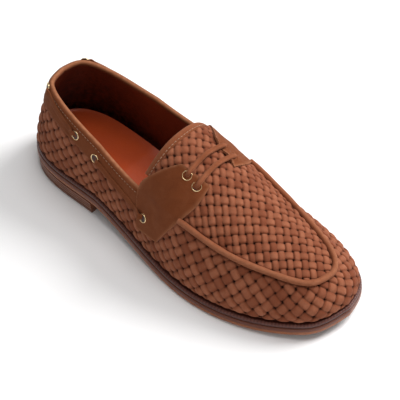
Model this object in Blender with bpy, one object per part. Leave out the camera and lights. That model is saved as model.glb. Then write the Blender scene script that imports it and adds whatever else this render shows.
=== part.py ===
"""Woven suede moccasin-toe loafer with a leather welt, outsole and stacked heel.

One right shoe, standing empty on the floor. Metres, +Z up, +X towards the toe,
+Y towards the wearer's left, which is the inner (medial) side of a right shoe.
The origin is under the middle of the sole, on the floor.

The whole upper comes from one function, skin(t, s): t runs round the shoe from the
heel (0) to the toe (-1 down the outer side, +1 down the inner side), and s climbs from
the feather line (0) over the rim of the side wall (1) to the ridge of the instep (2).
The band, wings, tongue and laces are pieces cut from that same function, each a little
further out.
"""
import math

import bpy
import numpy as np

# Driving dimensions, in metres
LENGTH = 0.298
BALL_WIDTH = 0.112
COLLAR_RISE = 0.064
INSTEP_ARCH = 0.027
WALL = 0.0022
WEAVE_RELIEF = 0.0006
WEAVE_STEP = 0.0060

OUTSOLE_THICK = 0.007
OUTSOLE_EDGE_ROUND = 0.0018
WELT_THICK = 0.0036
WELT_BREADTH = 0.013
WELT_SHELF_TOE = 0.0036
WELT_SHELF_HEEL = 0.0018
HEEL_STACK = 0.0077
TOP_LIFT = 0.0033
HEEL_TAPER = 0.0012
HEEL_BREAST = 0.280
TOE_SPRING = 0.007
INSOLE_THICK = 0.003

BAND_THICK = 0.0013
BAND_WIDTH = 0.0195
WING_THICK = 0.0016
BINDING_THICK = 0.0032
BINDING_WIDTH = 0.0065
PIPING_RADIUS = 0.0022
SEAM_GROOVE = 0.0016
BEAD_SEAT = 1.65
EYELET_RADIUS = 0.0034
EYELET_WIRE = 0.00065
LACE_WIDTH = 0.005
LACE_THICK = 0.0014
BAR_RADIUS = 0.0018
CLEAR = 0.0003

ARCH_POWER = 2.2

# Sections of the shoe from heel to toe. The foot columns give the sole's outline, the top
# columns the rim of the side wall: topline as far as the throat, then the seam of the vamp.
# at, top_at: shares of LENGTH. foot and top, outer and inner: shares of BALL_WIDTH.
# rise: shares of COLLAR_RISE above the feather line. arch: share of INSTEP_ARCH above the
# rim. bulge: share of BALL_WIDTH that the wall swells.
COLUMNS = ("at", "foot_out", "foot_in", "top_at", "top_out", "top_in",
           "rise_out", "rise_in", "arch", "bulge")
SECTIONS = (
    (0.00, -0.014, 0.014, 0.073, -0.006, 0.006, 1.000, 1.000, 1.25, 0.012),
    (0.02, 0.148, 0.172, 0.082, 0.108, 0.116, 1.000, 1.000, 1.25, 0.014),
    (0.08, 0.281, 0.290, 0.112, 0.182, 0.184, 1.003, 0.985, 1.25, 0.018),
    (0.18, 0.336, 0.328, 0.187, 0.247, 0.243, 0.952, 0.920, 1.22, 0.020),
    (0.30, 0.351, 0.310, 0.300, 0.283, 0.278, 0.815, 0.850, 1.18, 0.016),
    (0.42, 0.400, 0.309, 0.420, 0.309, 0.305, 0.711, 0.823, 1.13, 0.016),
    (0.55, 0.469, 0.369, 0.550, 0.362, 0.309, 0.800, 0.825, 0.99, 0.026),
    (0.66, 0.501, 0.460, 0.653, 0.352, 0.300, 0.700, 0.725, 0.676, 0.038),
    (0.76, 0.476, 0.494, 0.743, 0.318, 0.274, 0.600, 0.617, 0.470, 0.043),
    (0.85, 0.406, 0.470, 0.823, 0.260, 0.230, 0.530, 0.534, 0.310, 0.043),
    (0.92, 0.311, 0.394, 0.885, 0.203, 0.181, 0.475, 0.464, 0.187, 0.043),
    (0.97, 0.200, 0.286, 0.924, 0.133, 0.115, 0.431, 0.419, 0.080, 0.043),
    (1.00, -0.062, 0.062, 0.942, -0.022, 0.022, 0.397, 0.397, 0.000, 0.043),
)

# Landmarks along the shoe, as shares of LENGTH
THROAT = 0.585
TONGUE_BACK = 0.475
TONGUE_LEAN = 0.007

# Corners of a wing, rear edge and front edge from bottom to top: along (share of LENGTH)
# and girth (s of skin)
WING_COLUMNS = ("rear_at", "rear_girth", "front_at", "front_girth")
WING_EDGES = (
    (0.474, 0.34, 0.549, 0.44),
    (0.463, 0.66, 0.571, 0.68),
    (0.456, 1.00, 0.594, 0.95),
    (0.484, 1.21, 0.617, 1.27),
    (0.540, 1.58, 0.616, 1.66),
)

# Eyelets of one side: along (share of LENGTH), girth, and which piece carries it
EYELET_COLUMNS = ("name", "at", "girth", "carrier")
EYELETS = (
    ("throat_1", 0.563, 1.515, "wing"),
    ("throat_2", 0.594, 1.500, "wing"),
    ("band_1", 0.492, 0.610, "wing"),
    ("band_2", 0.300, 0.735, "band"),
    ("band_3", 0.228, 0.800, "band"),
    ("band_4", 0.095, 0.920, "band"),
)
# Stretches of lace that lie outside the band, from eyelet to eyelet
SIDE_LACES = (("front", "band_1", "band_2"), ("rear", "band_3", "band_4"))
LACE_BARS = ("throat_1", "throat_2")

SUEDE = (0.150, 0.060, 0.026)
SUEDE_LIGHT = (0.235, 0.100, 0.048)
TAN_LEATHER = (0.220, 0.045, 0.012)
WELT_LEATHER = (0.060, 0.018, 0.012)
SOLE_LEATHER = (0.240, 0.085, 0.035)
HEEL_LEATHER = (0.110, 0.035, 0.016)
RUBBER = (0.030, 0.018, 0.014)
BRASS = (0.780, 0.540, 0.240)


# Curves through the section table
def bends_of(knots, values):
    """Second derivatives at the knots of the natural cubic spline."""
    count = len(knots)
    gaps = np.diff(knots)
    system = np.eye(count)
    right = np.zeros(count)
    for i in range(1, count - 1):
        system[i, i - 1:i + 2] = gaps[i - 1], 2 * (gaps[i - 1] + gaps[i]), gaps[i]
        slope_after = (values[i + 1] - values[i]) / gaps[i]
        slope_before = (values[i] - values[i - 1]) / gaps[i - 1]
        right[i] = 6 * (slope_after - slope_before)
    return np.linalg.solve(system, right)


def smooth_through(knots, values, at, bend=None):
    """Value at 'at' of the natural cubic spline through the knots."""
    knots = np.asarray(knots, float)
    values = np.asarray(values, float)
    count = len(knots)
    gaps = np.diff(knots)
    bend = bends_of(knots, values) if bend is None else bend
    at = np.asarray(at, float)
    span = np.clip(np.searchsorted(knots, at) - 1, 0, count - 2)
    before = at - knots[span]
    after = knots[span + 1] - at
    gap = gaps[span]
    return ((bend[span] * after ** 3 + bend[span + 1] * before ** 3) / (6 * gap)
            + (values[span] / gap - bend[span] * gap / 6) * after
            + (values[span + 1] / gap - bend[span + 1] * gap / 6) * before)


def turn(share):
    """Parameter from 0 at the heel to 1 at the toe, even round the two round ends."""
    return np.arccos(1 - 2 * np.clip(share, 0, 1)) / math.pi


TABLE = {name: [row[i] for row in SECTIONS] for i, name in enumerate(COLUMNS)}
KNOTS = turn(TABLE["at"])
BENDS = {name: bends_of(KNOTS, TABLE[name]) for name in COLUMNS}


def column(name, t):
    return smooth_through(KNOTS, TABLE[name], np.abs(t), BENDS[name])


def wrapped(t):
    """t kept between -1 and 1, the toe."""
    return (np.asarray(t, float) + 1) % 2 - 1


def by_side(prefix, t):
    """Column value on the side that t is on."""
    return np.where(np.asarray(t) < 0, column(prefix + "_out", t), column(prefix + "_in", t))


def heel_height():
    return HEEL_STACK + TOP_LIFT + 2 * CLEAR


def underside(x):
    """Height of the outsole's lower face: seat on the heel, waist, flat tread, toe spring."""
    share = np.clip(x / LENGTH + 0.5, 0, 1)
    waist = np.clip((0.60 - share) / 0.30, 0, 1) ** 1.3
    spring = np.clip((share - 0.70) / 0.30, 0, 1) ** 1.8
    return heel_height() * waist + TOE_SPRING * spring


def feather(x):
    return underside(x) + OUTSOLE_THICK + CLEAR + WELT_THICK + CLEAR


def outline(t, inset=0.0):
    """Point of the sole's outline at t, moved inwards by inset."""
    t = np.asarray(t, float)
    step = 0.002

    def point(at_t):
        at_t = wrapped(at_t)
        sign = np.where(at_t < 0, -1.0, 1.0)
        x = (column("at", at_t) - 0.5) * LENGTH
        y = sign * by_side("foot", at_t) * BALL_WIDTH
        return np.stack([x, y], -1)

    here = point(t)
    along = point(t + step) - point(t - step)
    along /= np.linalg.norm(along, axis=-1, keepdims=True)
    inwards = np.stack([along[..., 1], -along[..., 0]], -1)
    return here + inwards * np.expand_dims(np.asarray(inset) * np.ones_like(t), -1), inwards


def shelf(t):
    """How far the welt stands out past the upper."""
    toe_share = np.clip((column("at", t) - 0.25) / 0.35, 0, 1)
    return WELT_SHELF_HEEL + (WELT_SHELF_TOE - WELT_SHELF_HEEL) * toe_share


def wall(t, v):
    """Side wall: from the feather line, v = 0, to the rim, v = 1."""
    t = wrapped(t)
    foot_xy, inwards = outline(t, shelf(t))
    foot_z = feather(foot_xy[..., 0])
    sign = np.where(t < 0, -1.0, 1.0)
    top_x = (column("top_at", t) - 0.5) * LENGTH
    top_y = sign * by_side("top", t) * BALL_WIDTH
    top_z = foot_z + by_side("rise", t) * COLLAR_RISE
    swell = column("bulge", t) * BALL_WIDTH * 4 * v * (1 - v) * (1.25 - 0.5 * v)
    x = foot_xy[..., 0] + (top_x - foot_xy[..., 0]) * v - inwards[..., 0] * swell
    y = foot_xy[..., 1] + (top_y - foot_xy[..., 1]) * v - inwards[..., 1] * swell
    z = foot_z + (top_z - foot_z) * v
    return np.stack([x, y, z], -1)


def instep(t, w):
    """Vamp and tongue: w = 1 on the rim at t, 0 on the ridge."""
    t = wrapped(t)
    rim = wall(t, 1.0)
    mate = wall(-t, 1.0)
    ridge_z = (rim[..., 2] + mate[..., 2]) / 2 + column("arch", t) * INSTEP_ARCH
    ridge_y = (rim[..., 1] + mate[..., 1]) / 2
    y = ridge_y + (rim[..., 1] - ridge_y) * w
    z = rim[..., 2] + (ridge_z - rim[..., 2]) * (1 - np.abs(w) ** ARCH_POWER)
    return np.stack([rim[..., 0], y, z], -1)


def skin(t, s):
    """Smooth outside of the upper."""
    t = np.asarray(t, float) + 0 * np.asarray(s, float)
    s = np.asarray(s, float) + 0 * t
    low = wall(t, np.clip(s, 0, 1))
    high = instep(t, np.clip(2 - s, 0, 1))
    return np.where(np.expand_dims(s <= 1, -1), low, high)


def skin_normal(t, s):
    """Outward normal of the skin. The vamp narrows to a point at the toe, so there its
    normal is blended from those of its two sides, a little behind the point."""
    step = 0.004
    tip = 0.955
    t = wrapped(t) + 0 * np.asarray(s, float)
    s = np.asarray(s, float) + 0 * t

    def across(at_t):
        along = skin(at_t + step, s) - skin(at_t - step, s)
        up = skin(at_t, s + step * 5) - skin(at_t, s - step * 5)
        return np.cross(up, along)

    def unit(vector):
        return vector / np.linalg.norm(vector, axis=-1, keepdims=True)

    safe_t = np.where(s > 1, np.clip(t, -tip, tip), t)
    normal = unit(across(safe_t))
    if not np.any((s > 1) & (np.abs(t) > tip)):
        return normal
    share = np.clip((np.abs(t) - tip) / (1 - tip), 0, 1) / 2
    share = np.expand_dims(np.where(s > 1, share, 0), -1)
    return unit(normal * (1 - share) + unit(across(np.where(s > 1, -safe_t, t))) * share)


def lifted(t, s, out):
    return skin(t, s) + skin_normal(t, s) * np.expand_dims(out + 0 * skin(t, s)[..., 0], -1)


def even_turns(count, start=0.0, end=1.0):
    """Values of t that are even steps along the outline."""
    fine = np.linspace(start, end, 400)
    path = outline(fine)[0] + outline(-fine)[0] * np.array([1, -1])
    run = np.concatenate([[0], np.cumsum(np.linalg.norm(np.diff(path, axis=0), axis=1))])
    return np.interp(np.linspace(0, run[-1], count + 1), run, fine)


# Making objects
def material(name, colour, roughness, metallic=0.0):
    made = bpy.data.materials.new(name)
    made.use_nodes = True
    shader = made.node_tree.nodes["Principled BSDF"]
    shader.inputs["Base Color"].default_value = (*colour, 1)
    shader.inputs["Roughness"].default_value = roughness
    shader.inputs["Metallic"].default_value = metallic
    return made


def add_object(name, vertices, faces, finish):
    mesh = bpy.data.meshes.new(name)
    mesh.from_pydata([tuple(map(float, v)) for v in vertices], [], faces)
    mesh.validate()
    mesh.materials.append(finish)
    mesh.shade_smooth()
    mesh.set_sharp_from_angle(angle=math.radians(40))
    made = bpy.data.objects.new(name, mesh)
    PARTS.objects.link(made)
    return made


def grid_faces(rows, columns, first=0, close_rows=False, flip=False):
    faces = []
    for i in range(rows if close_rows else rows - 1):
        for j in range(columns - 1):
            a = first + i * columns + j
            b = first + ((i + 1) % rows) * columns + j
            face = (a, b, b + 1, a + 1)
            faces.append(face[::-1] if flip else face)
    return faces


def slab(name, inner, outer, finish):
    """Closed solid between two matching grids of points, inner and outer face."""
    rows, columns = inner.shape[:2]
    size = rows * columns
    vertices = np.concatenate([outer.reshape(-1, 3), inner.reshape(-1, 3)])
    faces = grid_faces(rows, columns) + grid_faces(rows, columns, size, flip=True)
    rim = [(i, 0) for i in range(rows)] + [(rows - 1, j) for j in range(1, columns)]
    rim += [(i, columns - 1) for i in range(rows - 2, -1, -1)]
    rim += [(0, j) for j in range(columns - 2, 0, -1)]
    rim = [i * columns + j for i, j in rim]
    for a, b in zip(rim, rim[1:] + rim[:1]):
        faces.append((b, a, a + size, b + size))
    return add_object(name, vertices, faces, finish)


def plate(name, turns, levels, finish):
    """Sole layer. levels: (inset, height function) from the bottom ring to the top ring."""
    ring_t = list(turns) + [-t for t in turns[-2:0:-1]]
    ring_t = np.array(ring_t)
    count = len(ring_t)
    half = len(turns)
    rings = []
    for inset, height in levels:
        xy = outline(ring_t, inset)[0]
        rings.append(np.column_stack([xy, height(xy[:, 0])]))
    vertices = np.concatenate(rings)
    faces = []
    for level in range(len(levels) - 1):
        for k in range(count):
            a = level * count + k
            b = level * count + (k + 1) % count
            faces.append((b, a, a + count, b + count))
    for base, flip in ((0, False), ((len(levels) - 1) * count, True)):
        for k in range(half - 1):
            mate = [(count - k) % count, (count - k - 1) % count]
            quad = [base + k, base + k + 1, base + mate[1], base + mate[0]]
            quad = list(dict.fromkeys(quad))
            faces.append(tuple(quad[::-1] if flip else quad))
    return add_object(name, vertices, faces, finish)


def tube(name, points, radius, finish):
    """Round cord through the points, with filled ends."""
    curve = bpy.data.curves.new(name, "CURVE")
    curve.dimensions = "3D"
    curve.bevel_depth = radius
    curve.bevel_resolution = 1
    curve.use_fill_caps = True
    spline = curve.splines.new("POLY")
    spline.points.add(len(points) - 1)
    for target, point in zip(spline.points, points):
        target.co = (*map(float, point), 1)
    curve.materials.append(finish)
    made = bpy.data.objects.new(name, curve)
    PARTS.objects.link(made)
    return made


# The pieces
def make_outsole(finish):
    """Leather outsole with a rounded lower edge."""
    round_off = OUTSOLE_EDGE_ROUND

    def top(x):
        return underside(x) + OUTSOLE_THICK

    levels = ((round_off, underside),
              (round_off * 0.3, lambda x: underside(x) + round_off * 0.3),
              (0.0, lambda x: underside(x) + round_off),
              (0.0, top))
    plate("outsole", even_turns(44), levels, finish)


def make_welt(finish):
    """Flat strip that runs all round under the upper, a step in from the outsole's edge."""
    turns = even_turns(44)
    ring = np.concatenate([turns, -turns[-2:0:-1]])
    step_in = 0.0006
    outer_xy = outline(ring, step_in)[0]
    inner_xy = outline(ring, WELT_BREADTH)[0]
    low_outer = underside(outer_xy[:, 0]) + OUTSOLE_THICK + CLEAR
    low_inner = underside(inner_xy[:, 0]) + OUTSOLE_THICK + CLEAR
    loops = [np.column_stack([outer_xy, low_outer]),
             np.column_stack([outer_xy, low_outer + WELT_THICK]),
             np.column_stack([inner_xy, low_inner + WELT_THICK]),
             np.column_stack([inner_xy, low_inner])]
    count = len(ring)
    faces = []
    for loop in range(4):
        after = (loop + 1) % 4
        for k in range(count):
            a, b = loop * count + k, loop * count + (k + 1) % count
            c, d = after * count + (k + 1) % count, after * count + k
            faces.append((d, c, b, a))
    add_object("welt", np.concatenate(loops), faces, finish)


def make_insole(finish):
    """Leather insole, on the welt and inside the wall."""
    inset = WELT_SHELF_TOE + WALL + 2 * CLEAR + 0.0012

    def low(x):
        return feather(x) + CLEAR

    def high(x):
        return low(x) + INSOLE_THICK

    plate("insole", even_turns(40), ((inset, low), (inset, high)), finish)


def make_heel(name, z_low, z_high, inset_low, inset_high, finish):
    """One block of the heel: the seat's outline, cut off straight at the breast.

    z_high is a height, or a function of x where the block meets the outsole."""
    breast_turn = float(turn(HEEL_BREAST))
    turns = even_turns(14, 0.0, breast_turn)
    ring = np.concatenate([-turns[::-1], turns[1:]])
    rings = []
    for inset, height in ((inset_low, z_low), (inset_high, z_high)):
        xy = outline(ring, inset)[0]
        breast_x = (HEEL_BREAST - 0.5) * LENGTH
        xy[0, 0] = xy[-1, 0] = breast_x
        rings.append(np.column_stack([xy, height(xy[:, 0])]))
    count = len(ring)
    half = count // 2
    vertices = np.concatenate(rings)
    faces = []
    for k in range(count - 1):
        faces.append((k + 1, k, k + count, k + 1 + count))
    faces.append((0, count - 1, 2 * count - 1, count))
    for base, flip in ((0, False), (count, True)):
        for k in range(half):
            quad = [base + k, base + k + 1, base + count - 2 - k, base + count - 1 - k]
            quad = list(dict.fromkeys(quad))
            faces.append(tuple(quad[::-1] if flip else quad))
    add_object(name, vertices, faces, finish)


def weave(rows, columns, fade_row, fade_column):
    """Alternate high and low points, which read as a plait laid on the bias."""
    i, j = np.meshgrid(np.arange(rows), np.arange(columns), indexing="ij")
    pattern = np.where((i + j) % 2 == 0, 1.0, -1.0) * WEAVE_RELIEF
    return pattern * fade_row[:, None] * fade_column[None, :]


def wall_turns():
    """t of the upper's ribs, and the number of the rib that the throat is on."""
    half_girth = LENGTH * 1.075
    turns = even_turns(int(round(half_girth / WEAVE_STEP)))
    return turns, int(np.argmin(np.abs(column("top_at", turns) - THROAT)))


def make_upper(finish):
    """Side wall and vamp plug as one hollow body, open at the throat and underneath."""
    turns, throat_index = wall_turns()
    half = len(turns) - 1
    ring = np.concatenate([turns, -turns[-2:0:-1]])
    count = len(ring)
    steps = max(4, int(round(0.048 / WEAVE_STEP)))
    levels = np.linspace(0, 1, steps + 1)
    t_grid, v_grid = np.meshgrid(ring, levels, indexing="ij")
    base = skin(t_grid, v_grid)
    normal = skin_normal(t_grid, np.clip(v_grid, 0.02, 0.97))
    fade = np.ones(len(levels))
    fade[0] = fade[-1] = 0
    height = weave(count, len(levels), np.ones(count), fade)
    outer = base + normal * height[..., None]
    inner = base - normal * WALL
    inner[:, 0, 2] = base[:, 0, 2]
    inner[:, -1, 2] = base[:, -1, 2] - WALL * 0.2

    seam_rows = [k for k in range(count) if throat_index <= min(k, count - k)]
    seam_normal = skin_normal(ring, np.ones(count))
    for k in seam_rows:
        outer[k, -1] = base[k, -1] - seam_normal[k] * SEAM_GROOVE
        inner[k, -1] = base[k, -1] - seam_normal[k] * (SEAM_GROOVE + WALL)

    across = 14
    w_steps = np.linspace(-1, 1, across + 1)
    plug_turns = turns[throat_index:-1]
    rows = len(plug_turns)
    plug_outer = np.zeros((rows, across + 1, 3))
    plug_inner = np.zeros_like(plug_outer)
    edge_fade = np.ones(across + 1)
    edge_fade[0] = edge_fade[-1] = 0
    row_fade = np.clip((rows - 1 - np.arange(rows)) / 3, 0, 1)
    relief = weave(rows, across + 1, row_fade, edge_fade)
    for row, t in enumerate(plug_turns):
        for j, w in enumerate(w_steps):
            side_t = -t if w < 0 else t
            s = 2 - abs(w)
            point = skin(side_t, s)
            out = skin_normal(side_t, max(s, 1.06))
            plug_outer[row, j] = point + out * relief[row, j]
            plug_inner[row, j] = point - out * WALL

    vertices = []
    faces = []

    def add(grid):
        start = len(vertices)
        vertices.extend(grid.reshape(-1, 3))
        return start

    columns = len(levels)
    wall_outer = add(outer)
    wall_inner = add(inner)
    faces += grid_faces(count, columns, wall_outer, close_rows=True, flip=True)
    faces += grid_faces(count, columns, wall_inner, close_rows=True)
    for k in range(count):
        a = wall_outer + k * columns
        b = wall_outer + ((k + 1) % count) * columns
        faces.append((a, b, b - wall_outer + wall_inner, a - wall_outer + wall_inner))

    ids = {}

    def plug_id(row, j, face):
        """Vertex of the plug; its edges are the wall's own seam points."""
        ring_row = throat_index + row
        if row == rows:
            k = half
        elif j == 0:
            k = (count - ring_row) % count
        elif j == across:
            k = ring_row
        else:
            k = None
        if k is not None:
            start = wall_outer if face == "outer" else wall_inner
            return start + k * columns + columns - 1
        key = (row, j, face)
        if key not in ids:
            ids[key] = len(vertices)
            grid = plug_outer if face == "outer" else plug_inner
            vertices.append(grid[row, j])
        return ids[key]

    for row in range(rows):
        for j in range(across):
            for face, flip in (("outer", False), ("inner", True)):
                quad = [plug_id(row, j, face), plug_id(row + 1, j, face),
                        plug_id(row + 1, j + 1, face), plug_id(row, j + 1, face)]
                quad = list(dict.fromkeys(quad))
                if len(quad) > 2:
                    faces.append(tuple(quad[::-1] if flip else quad))
    for j in range(across):
        a, b = plug_id(0, j, "outer"), plug_id(0, j + 1, "outer")
        c, d = plug_id(0, j + 1, "inner"), plug_id(0, j, "inner")
        faces.append((a, b, c, d))
    for k in range(count):
        after = (k + 1) % count
        on_seam = min(k, count - k) >= throat_index and min(after, count - after) >= throat_index
        if on_seam:
            continue
        a = wall_outer + k * columns + columns - 1
        b = wall_outer + after * columns + columns - 1
        faces.append((b, a, a - wall_outer + wall_inner, b - wall_outer + wall_inner))
    return add_object("upper", np.array(vertices), faces, finish)


def make_tongue(finish, edge_finish):
    """Tongue that carries on the vamp behind the throat, with its bound back edge."""
    turns, throat_index = wall_turns()
    throat_at = float(column("top_at", turns[throat_index]))
    front_at = throat_at - 2 * CLEAR / LENGTH
    rows, across = 9, 12
    inner = np.zeros((rows + 1, across + 1, 3))
    outer = np.zeros_like(inner)
    binding_inner = []
    binding_outer = []
    for i in range(rows + 1):
        share = i / rows
        reach = 0.93 - 0.10 * share
        for j in range(across + 1):
            w = (-1 + 2 * j / across) * reach
            t = turn_at_top(front_at + (tongue_back(w) - front_at) * share)
            side_t = -t if w < 0 else t
            s = 2 - abs(w)
            point, out = skin(side_t, s), skin_normal(side_t, s)
            bend = 1.0 if (i + j) % 2 == 0 and 0 < i < rows and 0 < j < across else 0.0
            outer[i, j] = point + out * WEAVE_RELIEF * bend
            inner[i, j] = point - out * WALL
    slab("tongue", inner[::-1], outer[::-1], finish)

    edge_rows = 3
    for i in range(edge_rows + 1):
        share = i / edge_rows
        reach = 0.83
        puff = BINDING_THICK / 2 * math.sqrt(max(0.15, 1 - (2 * share - 1) ** 2))
        row_in, row_out = [], []
        for j in range(across + 1):
            w = (-1 + 2 * j / across) * reach
            back = CLEAR * 2 + BINDING_WIDTH * share
            t = turn_at_top(tongue_back(w) - back / LENGTH)
            side_t = -t if w < 0 else t
            s = 2 - abs(w)
            out = skin_normal(side_t, s)
            middle = skin(side_t, s) - out * WALL / 2
            row_in.append(middle - out * puff)
            row_out.append(middle + out * puff)
        binding_inner.append(row_in)
        binding_outer.append(row_out)
    slab("tongue_binding", np.array(binding_inner)[::-1], np.array(binding_outer)[::-1],
         edge_finish)


def tongue_back(w):
    """Back edge of the woven tongue: cut straight, it comes forward where it rides over
    the instep."""
    return TONGUE_BACK + TONGUE_LEAN / LENGTH * (1 - w * w)


TURNS_FINE = np.linspace(0, 1, 800)
TOP_FINE = column("top_at", TURNS_FINE)


def turn_at_top(share):
    """t at which the rim is this share of LENGTH from the heel."""
    return float(np.interp(share, TOP_FINE, TURNS_FINE))


def wing_point(p, q):
    """t (always positive) and girth at p from rear to front, q from bottom to top."""
    knots = np.linspace(0, 1, len(WING_EDGES))
    edge = {name: smooth_through(knots, [row[i] for row in WING_EDGES], q)
            for i, name in enumerate(WING_COLUMNS)}
    at = edge["rear_at"] + (edge["front_at"] - edge["rear_at"]) * p
    girth = edge["rear_girth"] + (edge["front_girth"] - edge["rear_girth"]) * p
    return turn_at_top(at), float(girth)


def make_wing(name, sign, finish):
    """Saddle wing: from low on the side wall, over the seam, on to the vamp."""
    across, up = 7, 14
    inner = np.zeros((across + 1, up + 1, 3))
    outer = np.zeros_like(inner)
    lift = WEAVE_RELIEF + 2 * CLEAR
    for i in range(across + 1):
        for j in range(up + 1):
            t, girth = wing_point(i / across, j / up)
            point, out = skin(sign * t, girth), seamless_normal(sign * t, girth)
            inner[i, j] = point + out * lift
            outer[i, j] = point + out * (lift + WING_THICK)
    if sign > 0:
        inner, outer = inner[::-1], outer[::-1]
    slab(name, inner, outer, finish)


def seamless_normal(t, s):
    """Normal averaged across the seam, so that a piece can pass over it in one bend."""
    spread = 0.10
    total = sum(skin_normal(t, s + shift) for shift in (-spread, -spread / 2, 0, spread / 2, spread))
    return total / np.linalg.norm(total, axis=-1, keepdims=True)


def band_lower(t):
    """Girth of the band's lower edge, BAND_WIDTH below the topline."""
    rim = wall(t, 1.0)
    foot = wall(t, 0.0)
    return 1 - BAND_WIDTH / np.linalg.norm(rim - foot, axis=-1)


def band_end(s):
    """t at which the band stops behind the wing, at girth s."""
    knots = np.linspace(0, 1, len(WING_EDGES))
    climb = np.linspace(0, 1, 60)
    rear_at = smooth_through(knots, [row[0] for row in WING_EDGES], climb)
    rear_girth = smooth_through(knots, [row[1] for row in WING_EDGES], climb)
    at = np.interp(s, rear_girth, rear_at)
    return turn_at_top(at - 3 * CLEAR / LENGTH)


def make_band(finish):
    """Suede band round the topline, behind the wings."""
    count, up = 52, 3
    inner = np.zeros((count + 1, up + 1, 3))
    outer = np.zeros_like(inner)
    lift = WEAVE_RELIEF + CLEAR
    for i in range(count + 1):
        share = -1 + 2 * i / count
        for j in range(up + 1):
            rise = j / up
            girth_here = float(band_lower(share * 0.45)) * (1 - rise) + rise
            t = share * band_end(girth_here)
            girth = float(band_lower(t)) * (1 - rise) + rise
            point, out = skin(t, girth), skin_normal(t, min(girth, 0.97))
            inner[i, j] = point + out * lift
            outer[i, j] = point + out * (lift + BAND_THICK)
    slab("collar_band", inner[::-1], outer[::-1], finish)


def seam_path(count):
    """Bead line over the seam, from wing to wing round the toe."""
    start = turn_at_top(WING_EDGES[2][2] + 0.012)
    reach = PIPING_RADIUS + CLEAR
    points = []
    ring = np.concatenate([np.linspace(-start, -1, count), np.linspace(1, start, count)[1:]])
    for t in ring:
        out = seamless_normal(t, 1.0)
        ground = skin(t, 1.0) - out * SEAM_GROOVE
        points.append(ground + out * reach * BEAD_SEAT)
    return points


def make_piping(finish):
    tube("moc_piping", seam_path(27), PIPING_RADIUS, finish)


def eyelet_place(row, sign):
    """Centre and normal of an eyelet on the face of the piece that carries it."""
    at, girth, carrier = row[1], row[2], row[3]
    t = sign * turn_at_top(at)
    thick = WING_THICK if carrier == "wing" else BAND_THICK
    out = seamless_normal(t, girth)
    lift = WEAVE_RELIEF + 2 * CLEAR + thick + CLEAR + EYELET_WIRE
    return skin(t, girth) + out * lift, out


def make_eyelets(finish):
    from mathutils import Vector
    for side, sign in (("outer", -1), ("inner", 1)):
        for row in EYELETS:
            centre, out = eyelet_place(row, sign)
            bpy.ops.mesh.primitive_torus_add(
                major_radius=EYELET_RADIUS, minor_radius=EYELET_WIRE,
                major_segments=12, minor_segments=4)
            ring = bpy.context.object
            ring.name = f"eyelet_{side}_{row[0]}"
            ring.data.name = ring.name
            ring.location = Vector(centre)
            ring.rotation_euler = Vector(out).to_track_quat("Z", "Y").to_euler()
            ring.data.materials.append(finish)
            ring.data.shade_smooth()
            for home in list(ring.users_collection):
                home.objects.unlink(ring)
            PARTS.objects.link(ring)


def make_side_lace(name, sign, start, end, finish):
    """Flat thong on the band between two eyelets, clear of their rings."""
    rows = {row[0]: row for row in EYELETS}
    first, last = rows[start], rows[end]
    count = 12
    reach = (EYELET_RADIUS + EYELET_WIRE + 2 * CLEAR) / LENGTH
    begin_at = first[1] - reach
    end_at = last[1] + reach
    if start == "band_1":
        begin_at = WING_EDGES[1][0] - 4 * CLEAR / LENGTH
    inner = np.zeros((count + 1, 3, 3))
    outer = np.zeros_like(inner)
    lift = WEAVE_RELIEF + CLEAR + BAND_THICK + CLEAR
    for i in range(count + 1):
        share = i / count
        at = begin_at + (end_at - begin_at) * share
        along = (at - first[1]) / (last[1] - first[1])
        girth_mid = first[2] + (last[2] - first[2]) * along
        t = sign * turn_at_top(at)
        tall = float(np.linalg.norm(wall(t, 1.0) - wall(t, 0.0)))
        for j in range(3):
            girth = girth_mid + (j - 1) * LACE_WIDTH / 2 / tall
            point, out = skin(t, girth), skin_normal(t, girth)
            inner[i, j] = point + out * lift
            outer[i, j] = point + out * (lift + LACE_THICK)
    if sign < 0:
        inner, outer = inner[::-1], outer[::-1]
    slab(name, inner, outer, finish)


def make_lace_bar(name, row, finish):
    """Bar of the thong over the tongue, from eyelet to eyelet."""
    left, left_out = eyelet_place(row, -1)
    right, right_out = eyelet_place(row, 1)
    rise = EYELET_WIRE + BAR_RADIUS * 1.8 + CLEAR
    start = left + left_out * rise
    end = right + right_out * rise
    t = turn_at_top(row[1])
    ridge = skin(t, 2.0)
    top = ridge[2] + WEAVE_RELIEF + BAR_RADIUS + 2 * CLEAR
    points = []
    for share in np.linspace(0, 1, 15):
        point = start + (end - start) * share
        arch = 4 * share * (1 - share)
        middle = (start[2] + end[2]) / 2
        point[2] += max(top - middle, 0.0006) * arch
        points.append(point)
    tube(name, points, BAR_RADIUS, finish)


for old in list(bpy.data.objects):
    bpy.data.objects.remove(old, do_unlink=True)
PARTS = bpy.data.collections.new("woven_loafer")
bpy.context.scene.collection.children.link(PARTS)


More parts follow.
